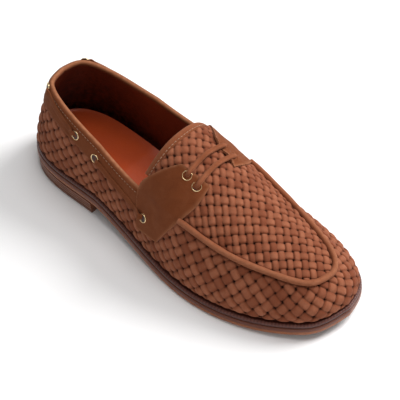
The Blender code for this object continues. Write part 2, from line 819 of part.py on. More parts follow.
def build():
    suede = material("suede", SUEDE, 0.92)
    woven = material("woven_suede", SUEDE_LIGHT, 0.9)
    lining = material("insole_leather", TAN_LEATHER, 0.35)
    welt_leather = material("welt_leather", WELT_LEATHER, 0.5)
    sole_leather = material("sole_leather", SOLE_LEATHER, 0.45)
    heel_leather = material("heel_leather", HEEL_LEATHER, 0.45)
    rubber = material("top_lift_rubber", RUBBER, 0.7)
    brass = material("brass", BRASS, 0.3, 1.0)

    make_outsole(sole_leather)
    make_welt(welt_leather)
    make_insole(lining)
    make_heel("heel_top_lift", lambda x: 0 * x, lambda x: 0 * x + TOP_LIFT,
              HEEL_TAPER + 0.0004, HEEL_TAPER, rubber)
    make_heel("heel_stack", lambda x: 0 * x + TOP_LIFT + CLEAR,
              lambda x: underside(x) - CLEAR, HEEL_TAPER, 0.0004, heel_leather)
    make_upper(woven)
    make_tongue(woven, suede)
    make_wing("wing_outer", -1, suede)
    make_wing("wing_inner", 1, suede)
    make_band(suede)
    make_piping(suede)
    make_eyelets(brass)
    for side, sign in (("outer", -1), ("inner", 1)):
        for stretch, start, end in SIDE_LACES:
            make_side_lace(f"lace_{side}_{stretch}", sign, start, end, suede)
    for row in EYELETS:
        if row[0] in LACE_BARS:
            make_lace_bar(f"lace_bar_{row[0][-1]}", row, suede)


build()
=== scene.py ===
# %% [markdown]
# A woven suede loafer, right foot, as a lesson in dressing a CAD model.
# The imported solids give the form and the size. Each cell below takes one piece of the
# real shoe, says what it is, and makes it again with the detail that a solid leaves out.
# Distances are metres. X runs to the toe, Y to the inner side of the foot, Z up.

import math

import bpy
import numpy as np
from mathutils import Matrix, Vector


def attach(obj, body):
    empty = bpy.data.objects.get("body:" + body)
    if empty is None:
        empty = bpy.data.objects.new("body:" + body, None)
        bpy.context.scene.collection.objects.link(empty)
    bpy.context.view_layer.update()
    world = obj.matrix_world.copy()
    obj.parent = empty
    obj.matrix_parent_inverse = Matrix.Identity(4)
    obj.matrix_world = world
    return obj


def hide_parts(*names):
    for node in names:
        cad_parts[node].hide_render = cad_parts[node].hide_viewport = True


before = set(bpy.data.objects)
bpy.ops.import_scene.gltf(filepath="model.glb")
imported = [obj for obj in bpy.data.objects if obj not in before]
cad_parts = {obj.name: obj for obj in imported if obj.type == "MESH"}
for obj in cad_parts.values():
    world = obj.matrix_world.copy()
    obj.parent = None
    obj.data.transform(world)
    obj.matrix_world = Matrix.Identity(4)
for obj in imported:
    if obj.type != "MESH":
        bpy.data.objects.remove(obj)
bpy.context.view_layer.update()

# %% [markdown]
# Every leather piece of the shoe lies on one smooth form, the last. It could be read off
# the solids, but a function is better: it gives a point and a direction anywhere, so a
# seam or a stitch can be asked for by its place. The table holds the sections from heel
# to toe, with the same sizes that the solids were built from.

# %% The last: sections and sizes
LENGTH = 0.298
BALL_WIDTH = 0.112
COLLAR_RISE = 0.064
INSTEP_ARCH = 0.027
WALL = 0.0022
OUTSOLE_THICK = 0.007
WELT_THICK = 0.0036
WELT_BREADTH = 0.013
WELT_SHELF_TOE = 0.0036
WELT_SHELF_HEEL = 0.0018
HEEL_STACK = 0.0077
TOP_LIFT = 0.0033
HEEL_BREAST = 0.280
TOE_SPRING = 0.007
INSOLE_THICK = 0.003
CLEAR = 0.0003
ARCH_POWER = 2.2

COLUMNS = ("at", "foot_out", "foot_in", "top_at", "top_out", "top_in",
           "rise_out", "rise_in", "arch", "bulge")
SECTIONS = (
    (0.00, -0.014, 0.014, 0.073, -0.006, 0.006, 1.000, 1.000, 1.25, 0.012),
    (0.02, 0.148, 0.172, 0.082, 0.108, 0.116, 1.000, 1.000, 1.25, 0.014),
    (0.08, 0.281, 0.290, 0.112, 0.182, 0.184, 1.003, 0.985, 1.25, 0.018),
    (0.18, 0.336, 0.328, 0.187, 0.247, 0.243, 0.952, 0.920, 1.22, 0.020),
    (0.30, 0.351, 0.310, 0.300, 0.283, 0.278, 0.815, 0.850, 1.18, 0.016),
    (0.42, 0.400, 0.309, 0.420, 0.309, 0.305, 0.711, 0.823, 1.13, 0.016),
    (0.55, 0.469, 0.369, 0.550, 0.362, 0.309, 0.800, 0.825, 0.99, 0.026),
    (0.66, 0.501, 0.460, 0.653, 0.352, 0.300, 0.700, 0.725, 0.676, 0.038),
    (0.76, 0.476, 0.494, 0.743, 0.318, 0.274, 0.600, 0.617, 0.470, 0.043),
    (0.85, 0.406, 0.470, 0.823, 0.260, 0.230, 0.530, 0.534, 0.310, 0.043),
    (0.92, 0.311, 0.394, 0.885, 0.203, 0.181, 0.475, 0.464, 0.187, 0.043),
    (0.97, 0.200, 0.286, 0.924, 0.133, 0.115, 0.431, 0.419, 0.080, 0.043),
    (1.00, -0.062, 0.062, 0.942, -0.022, 0.022, 0.397, 0.397, 0.000, 0.043),
)


def bends_of(knots, values):
    """Second derivatives of the natural cubic spline through the knots."""
    count = len(knots)
    gaps = np.diff(knots)
    system = np.eye(count)
    right = np.zeros(count)
    for i in range(1, count - 1):
        system[i, i - 1:i + 2] = gaps[i - 1], 2 * (gaps[i - 1] + gaps[i]), gaps[i]
        slope_after = (values[i + 1] - values[i]) / gaps[i]
        slope_before = (values[i] - values[i - 1]) / gaps[i - 1]
        right[i] = 6 * (slope_after - slope_before)
    return np.linalg.solve(system, right)


def smooth_through(knots, values, at, bend=None):
    """Value at 'at' of the natural cubic spline through the knots."""
    knots = np.asarray(knots, float)
    values = np.asarray(values, float)
    bend = bends_of(knots, values) if bend is None else bend
    at = np.asarray(at, float)
    span = np.clip(np.searchsorted(knots, at) - 1, 0, len(knots) - 2)
    before = at - knots[span]
    after = knots[span + 1] - at
    gap = before + after
    return ((bend[span] * after ** 3 + bend[span + 1] * before ** 3) / (6 * gap)
            + (values[span] / gap - bend[span] * gap / 6) * after
            + (values[span + 1] / gap - bend[span + 1] * gap / 6) * before)


def turn(share):
    """Place round the shoe, 0 at the heel and 1 at the toe, from a share of its length."""
    return np.arccos(1 - 2 * np.clip(share, 0, 1)) / math.pi


TABLE = {name: [row[i] for row in SECTIONS] for i, name in enumerate(COLUMNS)}
KNOTS = turn(TABLE["at"])
BENDS = {name: bends_of(KNOTS, TABLE[name]) for name in COLUMNS}


def column(name, t):
    return smooth_through(KNOTS, TABLE[name], np.abs(t), BENDS[name])


def by_side(prefix, t):
    """Column value for the outer side where t is below 0, else for the inner side."""
    return np.where(np.asarray(t) < 0, column(prefix + "_out", t), column(prefix + "_in", t))


print("table rows:", len(SECTIONS))

# %% [markdown]
# The sole first: its outline in plan and the heights of its layers. The underside
# rests on the heel, runs free under the waist, lies flat at the ball and springs up at
# the toe. The welt and the upper follow those heights.

# %% The last: outline and heights
HEEL_HEIGHT = HEEL_STACK + TOP_LIFT + 2 * CLEAR
WAIST_END = 0.60
SPRING_START = 0.70


def underside(x):
    """Height of the outsole's lower face."""
    share = np.clip(x / LENGTH + 0.5, 0, 1)
    waist = np.clip((WAIST_END - share) / 0.30, 0, 1) ** 1.3
    spring = np.clip((share - SPRING_START) / 0.30, 0, 1) ** 1.8
    return HEEL_HEIGHT * waist + TOE_SPRING * spring


def feather(x):
    """Height of the line where the upper leaves the welt."""
    return underside(x) + OUTSOLE_THICK + WELT_THICK + 2 * CLEAR


def wrapped(t):
    return (np.asarray(t, float) + 1) % 2 - 1


def outline(t, inset=0.0):
    """Point of the sole's outline at t, moved inwards by inset, and the way inwards."""
    t = np.asarray(t, float)
    step = 0.002

    def point(at_t):
        at_t = wrapped(at_t)
        sign = np.where(at_t < 0, -1.0, 1.0)
        x = (column("at", at_t) - 0.5) * LENGTH
        return np.stack([x, sign * by_side("foot", at_t) * BALL_WIDTH], -1)

    along = point(t + step) - point(t - step)
    along /= np.linalg.norm(along, axis=-1, keepdims=True)
    inwards = np.stack([along[..., 1], -along[..., 0]], -1)
    moved = inwards * np.expand_dims(inset * np.ones_like(t), -1)
    return point(t) + moved, inwards


def shelf(t):
    """How far the welt stands out past the upper."""
    toe_share = np.clip((column("at", t) - 0.25) / 0.35, 0, 1)
    return WELT_SHELF_HEEL + (WELT_SHELF_TOE - WELT_SHELF_HEEL) * toe_share


print("heel height:", round(HEEL_HEIGHT * 1000, 1), "mm")

# %% [markdown]
# Then the upper. skin(t, s) climbs from the welt at s = 0, over the rim of the side wall
# at s = 1, to the ridge of the instep at s = 2. Normals come from small steps along both
# directions, which is safer than a formula where two curved parts meet at the seam.

# %% The last: the upper's skin
def unit(vector):
    return vector / np.maximum(np.linalg.norm(vector, axis=-1, keepdims=True), 1e-12)


def wall(t, v):
    """Side wall: from the feather line, v = 0, to the rim, v = 1."""
    t = wrapped(t)
    foot_xy, inwards = outline(t, shelf(t))
    foot_z = feather(foot_xy[..., 0])
    sign = np.where(t < 0, -1.0, 1.0)
    top_x = (column("top_at", t) - 0.5) * LENGTH
    top_y = sign * by_side("top", t) * BALL_WIDTH
    swell = column("bulge", t) * BALL_WIDTH * 4 * v * (1 - v) * (1.25 - 0.5 * v)
    x = foot_xy[..., 0] + (top_x - foot_xy[..., 0]) * v - inwards[..., 0] * swell
    y = foot_xy[..., 1] + (top_y - foot_xy[..., 1]) * v - inwards[..., 1] * swell
    z = foot_z + by_side("rise", t) * COLLAR_RISE * v
    return np.stack([x, y, z], -1)


def instep(t, w):
    """Vamp and tongue: w = 1 on the rim at t, 0 on the ridge."""
    rim = wall(t, 1.0)
    mate = wall(-wrapped(t), 1.0)
    ridge_z = (rim[..., 2] + mate[..., 2]) / 2 + column("arch", wrapped(t)) * INSTEP_ARCH
    ridge_y = (rim[..., 1] + mate[..., 1]) / 2
    y = ridge_y + (rim[..., 1] - ridge_y) * w
    z = rim[..., 2] + (ridge_z - rim[..., 2]) * (1 - np.abs(w) ** ARCH_POWER)
    return np.stack([rim[..., 0], y, z], -1)


def skin(t, s):
    """Smooth outside of the upper."""
    t = np.asarray(t, float) + 0 * np.asarray(s, float)
    s = np.asarray(s, float) + 0 * t
    low = wall(t, np.clip(s, 0, 1))
    high = instep(t, np.clip(2 - s, 0, 1))
    return np.where(np.expand_dims(s <= 1, -1), low, high)


TIP = 0.955


def skin_normal(t, s):
    """Outward normal. Near the toe's point it is blended from the two sides of the vamp."""
    step = 0.004
    t = wrapped(t) + 0 * np.asarray(s, float)
    s = np.asarray(s, float) + 0 * t

    def across(at_t):
        along = skin(at_t + step, s) - skin(at_t - step, s)
        up = skin(at_t, s + step * 5) - skin(at_t, s - step * 5)
        return unit(np.cross(up, along))

    safe_t = np.where(s > 1, np.clip(t, -TIP, TIP), t)
    share = np.clip((np.abs(t) - TIP) / (1 - TIP), 0, 1) / 2
    share = np.expand_dims(np.where(s > 1, share, 0), -1)
    mirror_t = np.where(s > 1, -safe_t, t)
    return unit(across(safe_t) * (1 - share) + across(mirror_t) * share)


SEAM_SPREAD = 0.10


def seamless_normal(t, s):
    """Normal averaged over the seam, for a piece that passes it in one soft bend."""
    shifts = np.linspace(-SEAM_SPREAD, SEAM_SPREAD, 5)
    return unit(sum(skin_normal(t, s + shift) for shift in shifts))


TURNS_FINE = np.linspace(0, 1, 800)
TOP_FINE = column("top_at", TURNS_FINE)


def turn_at_top(share):
    """t at which the rim is this share of the length from the heel."""
    return np.interp(share, TOP_FINE, TURNS_FINE)


def even_turns(count, start=0.0, end=1.0):
    """Values of t that are even steps along the outline."""
    fine = np.linspace(start, end, 600)
    path = outline(fine)[0] + outline(-fine)[0] * np.array([1, -1])
    run = np.concatenate([[0], np.cumsum(np.linalg.norm(np.diff(path, axis=0), axis=1))])
    return np.interp(np.linspace(0, run[-1], count + 1), run, fine)


print("ridge height:", round(float(skin(0.6, 2.0)[2]) * 1000, 1), "mm")

# %% [markdown]
# Blender can build a mesh from lists of points and faces. Nearly all pieces here are
# grids of points, so one helper makes a mesh of several grids at once, and can store a
# number at each point. Those numbers (how deep in a gap, which sets a painted shade; how
# near an edge or a strip's crown, for rubbed nap and, on the crowns, a painted highlight;
# which strip) are read later in the materials, so the colour follows the form exactly.

# %% Helpers that make meshes
def grid_faces(rows, columns, first=0, ring=False, tube=False, flip=False):
    """Quads between the points of a grid; ring closes the rows, tube the columns."""
    i = np.arange(rows if ring else rows - 1)
    j = np.arange(columns if tube else columns - 1)
    i, j = np.meshgrid(i, j, indexing="ij")
    after_i = (i + 1) % rows
    after_j = (j + 1) % columns
    corners = [i * columns + j, after_i * columns + j,
               after_i * columns + after_j, i * columns + after_j]
    faces = np.stack(corners, -1).reshape(-1, 4) + first
    return faces[:, ::-1] if flip else faces


def add_mesh(name, vertices, faces, finishes, numbers=None, which=None):
    """One object from points and faces, with numbers stored at its points."""
    mesh = bpy.data.meshes.new(name)
    mesh.from_pydata(np.asarray(vertices, float).tolist(), [], [list(f) for f in faces])
    for finish in finishes:
        mesh.materials.append(finish)
    if which is not None:
        mesh.polygons.foreach_set("material_index", np.asarray(which, np.int32))
    for label, values in (numbers or {}).items():
        layer = mesh.attributes.new(label, "FLOAT", "POINT")
        layer.data.foreach_set("value", np.asarray(values, np.float32).ravel())
    mesh.validate()
    mesh.shade_smooth()
    made = bpy.data.objects.new(name, mesh)
    bpy.context.scene.collection.objects.link(made)
    return made


def add_sheets(name, sheets, finishes):
    """One mesh of several grids. A sheet: points, options for grid_faces, finish, numbers."""
    vertices = []
    faces = []
    which = []
    labels = sorted({label for sheet in sheets for label in sheet.get("numbers", {})})
    stored = {label: [] for label in labels}
    first = 0
    for sheet in sheets:
        points = sheet["points"]
        rows, columns = points.shape[:2]
        quads = grid_faces(rows, columns, first, **sheet.get("options", {}))
        vertices.append(points.reshape(-1, 3))
        faces.append(quads)
        which.append(np.full(len(quads), sheet.get("finish", 0)))
        for label in labels:
            values = sheet.get("numbers", {}).get(label, 0.0)
            stored[label].append((values + np.zeros((rows, columns))).ravel())
        first += rows * columns
    numbers = {label: np.concatenate(parts) for label, parts in stored.items()}
    return add_mesh(name, np.concatenate(vertices), np.concatenate(faces), finishes,
                    numbers, np.concatenate(which))


def settle(piece, slot, *nodes):
    """Say what a piece rides on and which solids it stands for; slot is not used."""
    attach(piece, "root")
    if nodes:
        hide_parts(*nodes)
    print(piece.name, len(piece.data.polygons) if piece.type == "MESH" else "")


def normals_of(points, ring=False):
    """Unit normals of a grid of points, from its own differences."""
    if ring:
        along = np.roll(points, -1, 0) - np.roll(points, 1, 0)
    else:
        along = np.gradient(points, axis=0)
    up = np.gradient(points, axis=1)
    return unit(np.cross(up, along))


print("mesh helpers ready")

# %% [markdown]
# Suede is leather with its fibres brushed up. It scatters light softly, looks paler where
# the nap leans to the light or the edge is rubbed, and darker where fingers pressed it.
# The grain, the rubbed edges and the patches are wanted in several materials, so each
# is a node group with named sockets, built once. The rubbed-edge group also lays painted
# shade on the lining and a painted highlight on the crowns of the woven strips.

# %% Node group helpers
def new_group(name, inputs, outputs):
    """Shader node group; inputs: (name, socket type, value)."""
    group = bpy.data.node_groups.new(name, "ShaderNodeTree")
    for label, kind, value in inputs:
        socket = group.interface.new_socket(name=label, in_out="INPUT", socket_type=kind)
        socket.default_value = value
    for label, kind in outputs:
        group.interface.new_socket(name=label, in_out="OUTPUT", socket_type=kind)
    start = group.nodes.new("NodeGroupInput")
    end = group.nodes.new("NodeGroupOutput")
    return group, start, end


def add_node(tree, kind, settings=None, **inputs):
    """Node with settings on itself and values or links on its inputs."""
    node = tree.nodes.new(kind)
    for label, value in (settings or {}).items():
        setattr(node, label, value)
    for label, value in inputs.items():
        key = int(label[1:]) if label[0] == "_" else label.replace("_", " ")
        if isinstance(value, bpy.types.NodeSocket):
            tree.links.new(value, node.inputs[key])
        else:
            node.inputs[key].default_value = value
    return node


def mix_colours(tree, share, first, second, blend="MIX"):
    """Mix node for colours, which has its sockets by number."""
    settings = {"data_type": "RGBA", "blend_type": blend}
    return add_node(tree, "ShaderNodeMix", settings, _0=share, _6=first, _7=second).outputs[2]


def calculate(tree, operation, first, second=0.0, clamp=False):
    settings = {"operation": operation, "use_clamp": clamp}
    return add_node(tree, "ShaderNodeMath", settings, _0=first, _1=second).outputs[0]


def stored_number(tree, label):
    """Value that was stored at the mesh's points."""
    return add_node(tree, "ShaderNodeAttribute", {"attribute_name": label}).outputs["Fac"]


COLOUR = "NodeSocketColor"
NUMBER = "NodeSocketFloat"
GREY = (0.5, 0.5, 0.5, 1)

# %% Node group: suede nap
nap, start, end = new_group(
    "suede nap",
    [("Colour", COLOUR, GREY), ("Brushed", COLOUR, GREY), ("Pressed", COLOUR, GREY),
     ("Fibre Scale", NUMBER, 1400.0), ("Patch Scale", NUMBER, 90.0),
     ("Patchiness", NUMBER, 0.5)],
    [("Colour", COLOUR), ("Height", NUMBER)])
place = add_node(nap, "ShaderNodeTexCoord").outputs["Object"]
fibre = add_node(nap, "ShaderNodeTexNoise", Vector=place, Scale=start.outputs["Fibre Scale"],
                 Detail=4.0, Roughness=0.7, Distortion=0.4).outputs[0]
patch = add_node(nap, "ShaderNodeTexNoise", Vector=place, Scale=start.outputs["Patch Scale"],
                 Detail=3.0, Roughness=0.6, Distortion=0.8).outputs[0]
light_share = calculate(nap, "MULTIPLY_ADD", patch, 3.0)
light_share.node.inputs[2].default_value = -1.45
light_share.node.use_clamp = True
light_share = calculate(nap, "MULTIPLY", light_share, start.outputs["Patchiness"])
dark_share = calculate(nap, "MULTIPLY_ADD", patch, -3.0)
dark_share.node.inputs[2].default_value = 1.35
dark_share.node.use_clamp = True
dark_share = calculate(nap, "MULTIPLY", dark_share, start.outputs["Patchiness"])
colour = mix_colours(nap, light_share, start.outputs["Colour"], start.outputs["Brushed"])
colour = mix_colours(nap, dark_share, colour, start.outputs["Pressed"])
speck = calculate(nap, "MULTIPLY_ADD", fibre, 1.1)
speck.node.inputs[2].default_value = 0.45
speckle = add_node(nap, "ShaderNodeCombineColor", Red=speck, Green=speck, Blue=speck)
colour = mix_colours(nap, 0.6, colour, speckle.outputs[0], "MULTIPLY")
nap.links.new(colour, end.inputs["Colour"])
nap.links.new(fibre, end.inputs["Height"])
print("group:", nap.name)

# %% Node group: leather grain
grain, start, end = new_group(
    "leather grain",
    [("Colour", COLOUR, GREY), ("Crease Colour", COLOUR, GREY), ("Grain Scale", NUMBER, 900.0),
     ("Mottle Scale", NUMBER, 40.0), ("Depth", NUMBER, 0.5)],
    [("Colour", COLOUR), ("Height", NUMBER), ("Roughness", NUMBER)])
place = add_node(grain, "ShaderNodeTexCoord").outputs["Object"]
pores = add_node(grain, "ShaderNodeTexVoronoi", {"feature": "DISTANCE_TO_EDGE"}, Vector=place,
                 Scale=start.outputs["Grain Scale"]).outputs[0]
cells = calculate(grain, "MULTIPLY", pores, 6.0, True)
mottle = add_node(grain, "ShaderNodeTexNoise", Vector=place,
                  Scale=start.outputs["Mottle Scale"], Detail=5.0, Roughness=0.6).outputs[0]
crease_share = calculate(grain, "SUBTRACT", 1.0, cells)
crease_share = calculate(grain, "MULTIPLY", crease_share, start.outputs["Depth"])
mottle_share = calculate(grain, "MULTIPLY_ADD", mottle, 1.6)
mottle_share.node.inputs[2].default_value = -0.5
mottle_share.node.use_clamp = True
share = calculate(grain, "MAXIMUM", crease_share, calculate(grain, "MULTIPLY", mottle_share, 0.6))
colour = mix_colours(grain, share, start.outputs["Colour"], start.outputs["Crease Colour"])
gloss = calculate(grain, "MULTIPLY_ADD", mottle, 0.35)
gloss.node.inputs[2].default_value = 0.2
grain.links.new(colour, end.inputs["Colour"])
grain.links.new(cells, end.inputs["Height"])
grain.links.new(gloss, end.inputs["Roughness"])
print("group:", grain.name)

# %% Node group: rubbed edges, also painted shade and highlight
wear_and_painted_light, start, end = new_group(
    "rubbed edges",
    [("Colour", COLOUR, GREY), ("Rubbed Colour", COLOUR, GREY), ("Edge", NUMBER, 0.0),
     ("Amount", NUMBER, 1.0), ("Breakup Scale", NUMBER, 300.0)],
    [("Colour", COLOUR), ("Mask", NUMBER)])
place = add_node(wear_and_painted_light, "ShaderNodeTexCoord").outputs["Object"]
breakup = add_node(wear_and_painted_light, "ShaderNodeTexNoise", Vector=place,
                   Scale=start.outputs["Breakup Scale"], Detail=4.0).outputs[0]
breakup = calculate(wear_and_painted_light, "MULTIPLY_ADD", breakup, 1.4)
breakup.node.inputs[2].default_value = 0.15
# The mask marks rubbed wear, and also painted shade on the lining and a painted highlight on woven
# crowns.
mask = calculate(wear_and_painted_light, "MULTIPLY", start.outputs["Edge"], breakup)
mask = calculate(wear_and_painted_light, "MULTIPLY", mask, start.outputs["Amount"], True)
colour = mix_colours(wear_and_painted_light, mask, start.outputs["Colour"], start.outputs["Rubbed Colour"])
wear_and_painted_light.links.new(colour, end.inputs["Colour"])
wear_and_painted_light.links.new(mask, end.inputs["Mask"])
print("group:", wear_and_painted_light.name)

# %% [markdown]
# The colours are cognac browns. The woven strips catch more light than the plain suede,
# and the gaps between them lie in shade, which is painted: the woven material mixes towards
# a near black-red painted shadow colour by the depth that was stored when the weave was made.
# The crowns of the strips are mixed paler, partly rubbed nap and partly painted highlight.
# The strips also differ a little from each other, as strips cut from several hides do.

# %% Materials: suede
def blank_material(name):
    made = bpy.data.materials.new(name)
    made.use_nodes = True
    tree = made.node_tree
    return made, tree, tree.nodes["Principled BSDF"]


def place_group(tree, group, **inputs):
    return add_node(tree, "ShaderNodeGroup", {"node_tree": group}, **inputs)


def colour4(colour):
    return (*colour, 1.0)


def bump(tree, shader, height, distance, strength):
    node = add_node(tree, "ShaderNodeBump", Height=height, Distance=distance,
                    Strength=strength)
    tree.links.new(node.outputs[0], shader.inputs["Normal"])


def suede_material(name, colour, brushed, pressed, pale, edge_amount=1.0, gaps=None,
                   patchiness=0.5):
    """Suede with nap, rubbed edges (on the weave's crowns also a painted highlight) and, for a weave,
    painted shade in the gaps and a tint for each strip.
    """
    made, tree, shader = blank_material(name)
    fur = place_group(tree, nap, Colour=colour4(colour), Brushed=colour4(brushed),
                      Pressed=colour4(pressed), Patchiness=patchiness)
    edge = stored_number(tree, "edge")
    wear_and_light_mix = place_group(tree, wear_and_painted_light, Colour=fur.outputs["Colour"],
                       Rubbed_Colour=colour4(pale), Edge=edge, Amount=edge_amount)
    shade = wear_and_light_mix.outputs["Colour"]
    if gaps:
        tint = stored_number(tree, "tint")
        shade = mix_colours(tree, tint, shade, colour4(gaps["other"]))
        # Painted shade: the stored gap depth mixes the colour towards the gaps' shadow colour.
        deep = stored_number(tree, "deep")
        shade = mix_colours(tree, deep, shade, colour4(gaps["shadow"]))
    tree.links.new(shade, shader.inputs["Base Color"])
    shader.inputs["Roughness"].default_value = 0.92
    shader.inputs["Specular IOR Level"].default_value = 0.12
    shader.inputs["Sheen Weight"].default_value = 0.14
    shader.inputs["Sheen Roughness"].default_value = 0.5
    shader.inputs["Sheen Tint"].default_value = (0.80, 0.48, 0.32, 1)
    bump(tree, shader, fur.outputs["Height"], 0.0004, 0.5)
    return made


# The shadow colours are painted shade for a weave's gaps; on the woven suede the pale colour also
# paints a highlight on the crowns.
SUEDE = suede_material("suede", (0.150, 0.038, 0.011), (0.205, 0.062, 0.024),
                       (0.085, 0.020, 0.006), (0.360, 0.150, 0.075), 0.8,
                       {"other": (0.120, 0.030, 0.009), "shadow": (0.018, 0.003, 0.0012)})
PIPING_SUEDE = suede_material("piping suede", (0.195, 0.057, 0.023), (0.270, 0.092, 0.043),
                              (0.115, 0.031, 0.011), (0.340, 0.135, 0.070), 0.6)
WOVEN = suede_material("woven suede", (0.215, 0.062, 0.028), (0.300, 0.100, 0.052),
                       (0.125, 0.031, 0.013), (0.380, 0.150, 0.082), 0.6,
                       {"other": (0.145, 0.034, 0.014), "shadow": (0.008, 0.0010, 0.0004)},
                       0.6)
print("suede materials:", SUEDE.name, PIPING_SUEDE.name, WOVEN.name)


# %% [markdown]
# The smooth leathers: a glossy tan insole, a dark red-brown lining, a dark welt and a
# sole whose edge is stained darker above and left tan below. They share the grain group
# and differ in scale, gloss and coat. The coat is a number on the shader itself, because
# a linked coat is lost when the model is exported.

# %% Materials: smooth leathers, brass, thread
def leather_material(name, colour, crease, scale, depth, coat, coat_roughness, edge=None):
    made, tree, shader = blank_material(name)
    hide = place_group(tree, grain, Colour=colour4(colour), Crease_Colour=colour4(crease),
                       Grain_Scale=scale, Depth=depth)
    shade = hide.outputs["Colour"]
    if edge:
        number = stored_number(tree, edge["label"])
        wear_and_light_mix = place_group(tree, wear_and_painted_light, Colour=shade, Rubbed_Colour=colour4(edge["colour"]),
                           Edge=number, Amount=edge.get("amount", 1.0))
        shade = wear_and_light_mix.outputs["Colour"]
    tree.links.new(shade, shader.inputs["Base Color"])
    tree.links.new(hide.outputs["Roughness"], shader.inputs["Roughness"])
    shader.inputs["Specular IOR Level"].default_value = 0.3
    shader.inputs["Coat Weight"].default_value = coat
    shader.inputs["Coat Roughness"].default_value = coat_roughness
    bump(tree, shader, hide.outputs["Height"], 0.00015, 0.35)
    return made


INSOLE_LEATHER = leather_material("insole leather", (0.450, 0.062, 0.013),
                                  (0.320, 0.038, 0.007), 700.0, 0.2, 0.08, 0.3)
# The lining's stored number mixes it towards near-black: painted shade inside the shoe, darker low
# down and at the heel, and in the eyelet holes.
LINING = leather_material("lining leather", (0.190, 0.026, 0.008), (0.110, 0.013, 0.004),
                          800.0, 0.4, 0.05, 0.4,
                          {"label": "deep", "colour": (0.004, 0.0006, 0.0003)})
WELT_LEATHER = leather_material("welt leather", (0.070, 0.018, 0.012), (0.036, 0.009, 0.006),
                                900.0, 0.4, 0.05, 0.35,
                                {"label": "edge", "colour": (0.150, 0.045, 0.028)})
SOLE_EDGE = leather_material("sole edge leather", (0.130, 0.034, 0.016),
                             (0.075, 0.020, 0.010), 1100.0, 0.35, 0.05, 0.35,
                             {"label": "lower", "colour": (0.300, 0.098, 0.034)})
HEEL_LEATHER = leather_material("heel leather", (0.170, 0.050, 0.019),
                                (0.100, 0.028, 0.011), 1100.0, 0.4, 0.05, 0.35,
                                {"label": "edge", "colour": (0.230, 0.075, 0.028),
                                 "amount": 0.6})
RUBBER = leather_material("top lift rubber", (0.170, 0.058, 0.026), (0.080, 0.028, 0.014),
                          1500.0, 0.3, 0.0, 0.5)

def brass_material():
    """Thin plated brass, a little dull in places."""
    made, tree, shader = blank_material("brass")
    place = add_node(tree, "ShaderNodeTexCoord").outputs["Object"]
    haze = add_node(tree, "ShaderNodeTexNoise", Vector=place, Scale=700.0, Detail=3.0)
    shade = mix_colours(tree, haze.outputs[0], (0.830, 0.560, 0.250, 1), (0.950, 0.760, 0.470, 1))
    dull = calculate(tree, "MULTIPLY_ADD", haze.outputs[0], 0.25)
    dull.node.inputs[2].default_value = 0.12
    tree.links.new(shade, shader.inputs["Base Color"])
    tree.links.new(dull, shader.inputs["Roughness"])
    shader.inputs["Metallic"].default_value = 1.0
    return made


def thread_material():
    """Waxed thread, twisted: a wave texture gives it its plies."""
    made, tree, shader = blank_material("thread")
    place = add_node(tree, "ShaderNodeTexCoord").outputs["Object"]
    plies = add_node(tree, "ShaderNodeTexWave", Vector=place, Scale=900.0, Distortion=1.5)
    shade = mix_colours(tree, plies.outputs[1], (0.260, 0.125, 0.065, 1), (0.480, 0.290, 0.190, 1))
    tree.links.new(shade, shader.inputs["Base Color"])
    shader.inputs["Roughness"].default_value = 0.75
    bump(tree, shader, plies.outputs[1], 0.0001, 0.5)
    return made


BRASS = brass_material()
THREAD = thread_material()
print("leathers, brass and thread ready")

# %% [markdown]
# The camera stands where the photograph was taken from: 40 degrees round from the side,
# 45 degrees above the floor, with a long lens. The floor is one pale sheet under soft
# studio light.

# %% Camera, floor and light
AZIMUTH = math.radians(40)
ELEVATION = math.radians(45)
DISTANCE = 1.383
AIM = Vector((0.0085, 0.0445, 0.030))
FRAME_AIM = Vector((-0.0030, 0.0163, 0.0158))
LENS = 165.0

camera_data = bpy.data.cameras.new("camera")
camera_data.lens = LENS
camera_data.sensor_width = 36.0
camera = bpy.data.objects.new("camera", camera_data)
bpy.context.scene.collection.objects.link(camera)
away = Vector((-math.sin(AZIMUTH) * math.cos(ELEVATION),
               math.cos(AZIMUTH) * math.cos(ELEVATION), -math.sin(ELEVATION)))
camera.location = AIM - away * DISTANCE
look = FRAME_AIM - camera.location
camera.rotation_euler = look.to_track_quat("-Z", "Y").to_euler()
bpy.context.scene.camera = camera


def add_area(name, place, aim, size, power, colour=(1, 1, 1)):
    lamp = bpy.data.lights.new(name, "AREA")
    lamp.shape = "DISK"
    lamp.size = size
    lamp.energy = power
    lamp.color = colour
    made = bpy.data.objects.new(name, lamp)
    made.location = place
    made.rotation_euler = (Vector(aim) - Vector(place)).to_track_quat("-Z", "Y").to_euler()
    bpy.context.scene.collection.objects.link(made)
    return made


LIGHTS = (
    ("key light", (0.45, 0.95, 1.05), (0.03, 0.0, 0.03), 0.90, 23.0),
    ("top light", (0.15, 0.10, 1.60), (0.0, 0.0, 0.0), 1.10, 11.0),
    ("front fill", (0.80, -0.60, 0.60), (0.05, 0.0, 0.03), 0.90, 1.6),
)
for name, place, aim, size, power in LIGHTS:
    add_area(name, place, aim, size, power)

world = bpy.data.worlds.new("studio")
world.use_nodes = True
world.node_tree.nodes["Background"].inputs[0].default_value = (1.0, 1.0, 1.0, 1)
world.node_tree.nodes["Background"].inputs[1].default_value = 0.28
bpy.context.scene.world = world
bpy.context.scene.view_settings.view_transform = "Standard"

